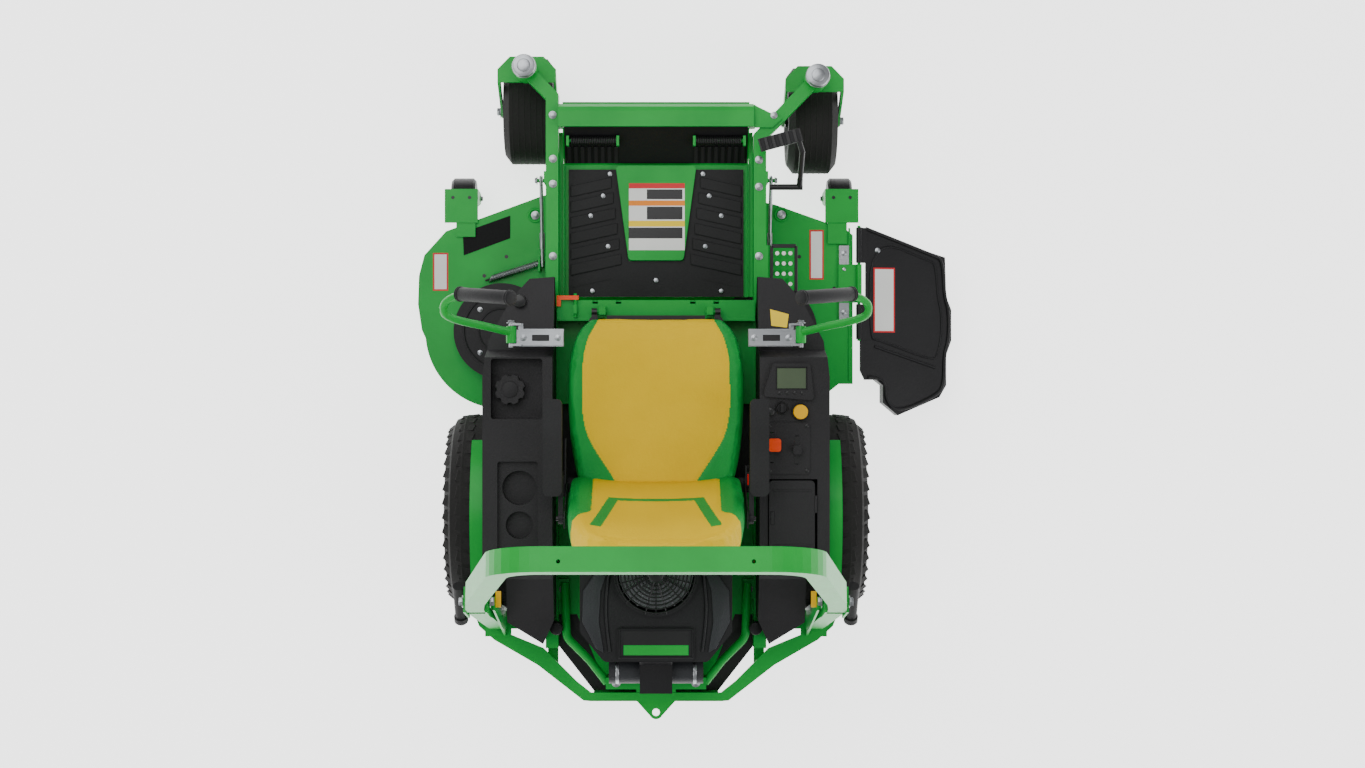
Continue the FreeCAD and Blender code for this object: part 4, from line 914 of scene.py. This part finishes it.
# ------------------------------------------------------------------ engine
def make_engine_details():
    cover_points = [(0.14, 0.54), (0.175, 0.545), (0.212, 0.6), (0.214, 0.69),
                    (0.175, 0.765), (0.15, 0.78), (0.165, 0.69), (0.16, 0.6)]
    for side, s in SIDES.items():
        points = [(s * x, y) for x, y in cover_points]
        cover = cut_sheet(points if s > 0 else points[::-1], 0.719, 0.009, 0.004)
        settle(cover, "engine_side_cover_" + side, "cast", "chassis")
        bead = [at(s * x, y, 0.722) for x, y in ((0.128, 0.5), (0.143, 0.58), (0.148, 0.68),
                                                 (0.134, 0.775))]
        smooth_tube("shroud_bead_" + side, bead, 0.006, "rubber_cover", "chassis")
    guard = [ring(at(0, 0.547, 0.755), (0, 0, 1), r, 0.0021, 72)
             for r in (0.036, 0.047, 0.058, 0.069, 0.08, 0.091, 0.102, 0.113)]
    settle(join(guard), "fan_guard_rings", "satin", "chassis")
    rays = []
    for n in range(12):
        a = 2 * math.pi * (n + 0.5) / 12
        rays.append(turned_pin(at(0.026 * math.cos(a), 0.547 + 0.026 * math.sin(a), 0.7575),
                               at(0.121 * math.cos(a), 0.547 + 0.121 * math.sin(a), 0.7515),
                               0.0022, 10))
    settle(join(rays), "fan_guard_spokes", "satin", "chassis")
    cap = turned_pin(at(0, 0.547, 0.752), at(0, 0.547, 0.762), 0.024, 40, 0.004)
    settle(cap, "fan_guard_cap", "satin", "chassis")
    sides = [(-0.106, 0.106, 0.708, 0.7125), (-0.106, 0.106, 0.7895, 0.794),
             (-0.108, -0.1035, 0.708, 0.794), (0.1035, 0.108, 0.708, 0.794)]
    rim = [rounded_block(at(x0, y0, 0.7275), at(x1, y1, 0.7315), 0.001, 1)
           for x0, x1, y0, y1 in sides]
    settle(join(rim), "engine_lid_frame", "rubber_cover", "chassis", 0)
    # Painted shade: a satin black sheet under the engine bay, run through the frame tubes, stands
    # for the shade that fills the bay.
    bay_shade_sheet = cut_sheet([(-0.36, 0.06), (0.36, 0.06), (0.36, 0.62), (0.31, 0.79), (0.185, 0.95),
                      (-0.185, 0.95), (-0.31, 0.79), (-0.36, 0.62)], 0.335, 0.003)
    settle(bay_shade_sheet, "engine_bay_painted_shade", "satin", "chassis", 0)
    filt = turned_pin(at(0.1, 0.415, 0.48), at(0.1, 0.425, 0.56), 0.036, 32, 0.004)
    settle(filt, "oil_filter", "satin", "chassis")
    bands = [turned_pin(at(x, 0.852, 0.542), at(x + 0.01, 0.852, 0.542), 0.0415, 40, 0.001)
             for x in (-0.12, 0.11)]
    settle(join(bands), "muffler_bands", "zinc", "chassis")


# ------------------------------------------------------------------ CAD finishes
def paint_frame():
    for name, nodes in NODE_FINISH.items():
        for node in nodes:
            obj = bpy.data.objects[node]
            for slot in obj.material_slots:
                slot.material = FINISHES[name]
            if not obj.material_slots:
                obj.data.materials.append(FINISHES[name])


# ------------------------------------------------------------------ studio
def make_studio(height, floor_code):
    world = bpy.data.worlds.new("studio_air")
    world.use_nodes = True
    sky = world.node_tree.nodes["Background"]
    sky.inputs["Color"].default_value = (1, 1, 1, 1)
    sky.inputs["Strength"].default_value = 0.42
    bpy.context.scene.world = world
    start()
    bpy.ops.mesh.primitive_plane_add(size=FLOOR_SIZE, location=at(0, 0, -0.001))
    floor = bpy.context.object
    floor.name = "studio_floor"
    paper = bpy.data.materials.new("seamless_paper")
    paper.use_nodes = True
    shader = paper.node_tree.nodes["Principled BSDF"]
    shader.inputs["Base Color"].default_value = linear(floor_code)
    shader.inputs["Roughness"].default_value = 0.9
    shader.inputs["Emission Color"].default_value = linear(floor_code)
    shader.inputs["Emission Strength"].default_value = 2.4
    floor.data.materials.append(paper)
    lamps = [((1.5, -2.5, 6.0), 5.0, 230), ((-4.0, 2.0, 5.0), 4.0, 130),
             ((3.5, 3.5, 4.5), 3.0, 90)]
    for n, (spot, size, power) in enumerate(lamps):
        bpy.ops.object.light_add(type="AREA", location=at(*spot))
        lamp = bpy.context.object
        lamp.name = "softbox_%d" % n
        lamp.data.size = size
        lamp.data.energy = power
        lamp.rotation_euler = (at(0, 0, 0.4) - lamp.location).to_track_quat("-Z", "Y").to_euler()
    bpy.ops.object.camera_add(location=at(0, 0, height), rotation=(0, 0, math.pi))
    camera = bpy.context.object
    camera.data.sensor_width = SENSOR_WIDTH
    camera.data.lens = SENSOR_WIDTH * height / VIEW_WIDTH
    camera.data.shift_x = 0.0194
    bpy.context.scene.camera = camera


# ------------------------------------------------------------------ the add-on
class MowerStudioSettings(bpy.types.PropertyGroup):
    height: bpy.props.FloatProperty(
        name="Camera height", description="Height of the camera over the ground",
        default=7.0, min=3.0, unit="LENGTH")
    grip: bpy.props.FloatProperty(
        name="Grip radius", description="Radius of the foam grips on the lap bars",
        default=0.0195, min=0.012, max=0.03, unit="LENGTH")
    spring_wire: bpy.props.FloatProperty(
        name="Spring wire radius", description="Radius of the toe board springs' wire",
        default=0.0024, min=0.001, max=0.004, unit="LENGTH")
    floor: bpy.props.StringProperty(
        name="Floor colour", description="Colour of the floor as sRGB hex",
        default="f4f4f4")
    paint: bpy.props.StringProperty(
        name="Paint colour", description="Colour of the frame and deck as sRGB hex",
        default="0a9f38")
    seat: bpy.props.StringProperty(
        name="Seat colour", description="Main colour of the seat as sRGB hex",
        default="dfb800")
    trim: bpy.props.StringProperty(
        name="Trim colour", description="Colour of the seat's sides as sRGB hex",
        default="0c8f38")


class MOWER_OT_finishes(bpy.types.Operator):
    """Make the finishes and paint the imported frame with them"""
    bl_idname = "mower.finishes"
    bl_label = "Finishes"

    def execute(self, context):
        FINISHES.update(make_finishes(context.scene.mower_studio))
        paint_frame()
        return {"FINISHED"}


class MOWER_OT_cushion(bpy.types.Operator):
    """Sew the seat cushion"""
    bl_idname = "mower.cushion"
    bl_label = "Cushion"

    def execute(self, context):
        make_cushion()
        return {"FINISHED"}


class MOWER_OT_back(bpy.types.Operator):
    """Sew the seat back"""
    bl_idname = "mower.back"
    bl_label = "Back"

    def execute(self, context):
        make_back()
        return {"FINISHED"}


class MOWER_OT_belt(bpy.types.Operator):
    """Fit the lap belt"""
    bl_idname = "mower.belt"
    bl_label = "Belt"

    def execute(self, context):
        make_belt()
        return {"FINISHED"}


class MOWER_OT_rear_tread(bpy.types.Operator):
    """Mould the rear tread and fit the nuts"""
    bl_idname = "mower.rear_tread"
    bl_label = "Rear tread"

    def execute(self, context):
        make_rear_tread()
        return {"FINISHED"}


class MOWER_OT_casters(bpy.types.Operator):
    """Rib the caster tyres and cap the pivots"""
    bl_idname = "mower.casters"
    bl_label = "Casters"

    def execute(self, context):
        make_caster_details()
        return {"FINISHED"}


class MOWER_OT_mat(bpy.types.Operator):
    """Mould the foot mat's studs and ridges"""
    bl_idname = "mower.mat"
    bl_label = "Mat"

    def execute(self, context):
        make_mat_details()
        return {"FINISHED"}


class MOWER_OT_toe_springs(bpy.types.Operator):
    """Wind the two springs at the toe board"""
    bl_idname = "mower.toe_springs"
    bl_label = "Toe springs"

    def execute(self, context):
        make_toe_springs(context.scene.mower_studio.spring_wire)
        return {"FINISHED"}


class MOWER_OT_labels(bpy.types.Operator):
    """Stick on the blank labels"""
    bl_idname = "mower.labels"
    bl_label = "Labels"

    def execute(self, context):
        make_labels()
        return {"FINISHED"}


class MOWER_OT_deck(bpy.types.Operator):
    """Fit the deck's hardware"""
    bl_idname = "mower.deck"
    bl_label = "Deck"

    def execute(self, context):
        make_deck_details()
        return {"FINISHED"}


class MOWER_OT_chute(bpy.types.Operator):
    """Roll the chute's rim and ribs"""
    bl_idname = "mower.chute"
    bl_label = "Chute"

    def execute(self, context):
        make_chute_details()
        return {"FINISHED"}


class MOWER_OT_frame(bpy.types.Operator):
    """Fit the frame's bolts and pins"""
    bl_idname = "mower.frame"
    bl_label = "Frame"

    def execute(self, context):
        make_frame_details()
        return {"FINISHED"}


class MOWER_OT_levers(bpy.types.Operator):
    """Fit the lap bars and their grips"""
    bl_idname = "mower.levers"
    bl_label = "Levers"

    def execute(self, context):
        make_levers(context.scene.mower_studio.grip)
        return {"FINISHED"}


class MOWER_OT_controls(bpy.types.Operator):
    """Fit the console's controls"""
    bl_idname = "mower.controls"
    bl_label = "Controls"

    def execute(self, context):
        make_controls()
        return {"FINISHED"}


class MOWER_OT_engine(bpy.types.Operator):
    """Fit the engine's covers and guard"""
    bl_idname = "mower.engine"
    bl_label = "Engine"

    def execute(self, context):
        make_engine_details()
        return {"FINISHED"}


class MOWER_OT_studio(bpy.types.Operator):
    """Set up the pale floor, the soft lights and the camera"""
    bl_idname = "mower.studio"
    bl_label = "Studio"

    def execute(self, context):
        settings = context.scene.mower_studio
        make_studio(settings.height, settings.floor)
        return {"FINISHED"}


class MOWER_PT_panel(bpy.types.Panel):
    """Lists the steps that dress the mower"""
    bl_idname = "MOWER_PT_panel"
    bl_label = "Mower"
    bl_space_type = "VIEW_3D"
    bl_region_type = "UI"
    bl_category = "Mower"

    def draw(self, context):
        for setting in ("height", "grip", "spring_wire", "floor", "paint", "seat", "trim"):
            self.layout.prop(context.scene.mower_studio, setting)
        for kind in STEPS:
            self.layout.operator(kind.bl_idname)


STEPS = [MOWER_OT_finishes, MOWER_OT_cushion, MOWER_OT_back,
         MOWER_OT_belt, MOWER_OT_rear_tread, MOWER_OT_casters,
         MOWER_OT_mat, MOWER_OT_toe_springs, MOWER_OT_labels,
         MOWER_OT_deck, MOWER_OT_chute, MOWER_OT_frame,
         MOWER_OT_levers, MOWER_OT_controls, MOWER_OT_engine,
         MOWER_OT_studio]
CLASSES = [MowerStudioSettings, *STEPS, MOWER_PT_panel]


def register():
    for kind in CLASSES:
        bpy.utils.register_class(kind)
    bpy.types.Scene.mower_studio = bpy.props.PointerProperty(type=MowerStudioSettings)


def unregister():
    del bpy.types.Scene.mower_studio
    for kind in reversed(CLASSES):
        bpy.utils.unregister_class(kind)


def main():
    register()
    for kind in STEPS:
        group, name = kind.bl_idname.split(".")
        getattr(getattr(bpy.ops, group), name)()


if __name__ == "__main__":
    main()
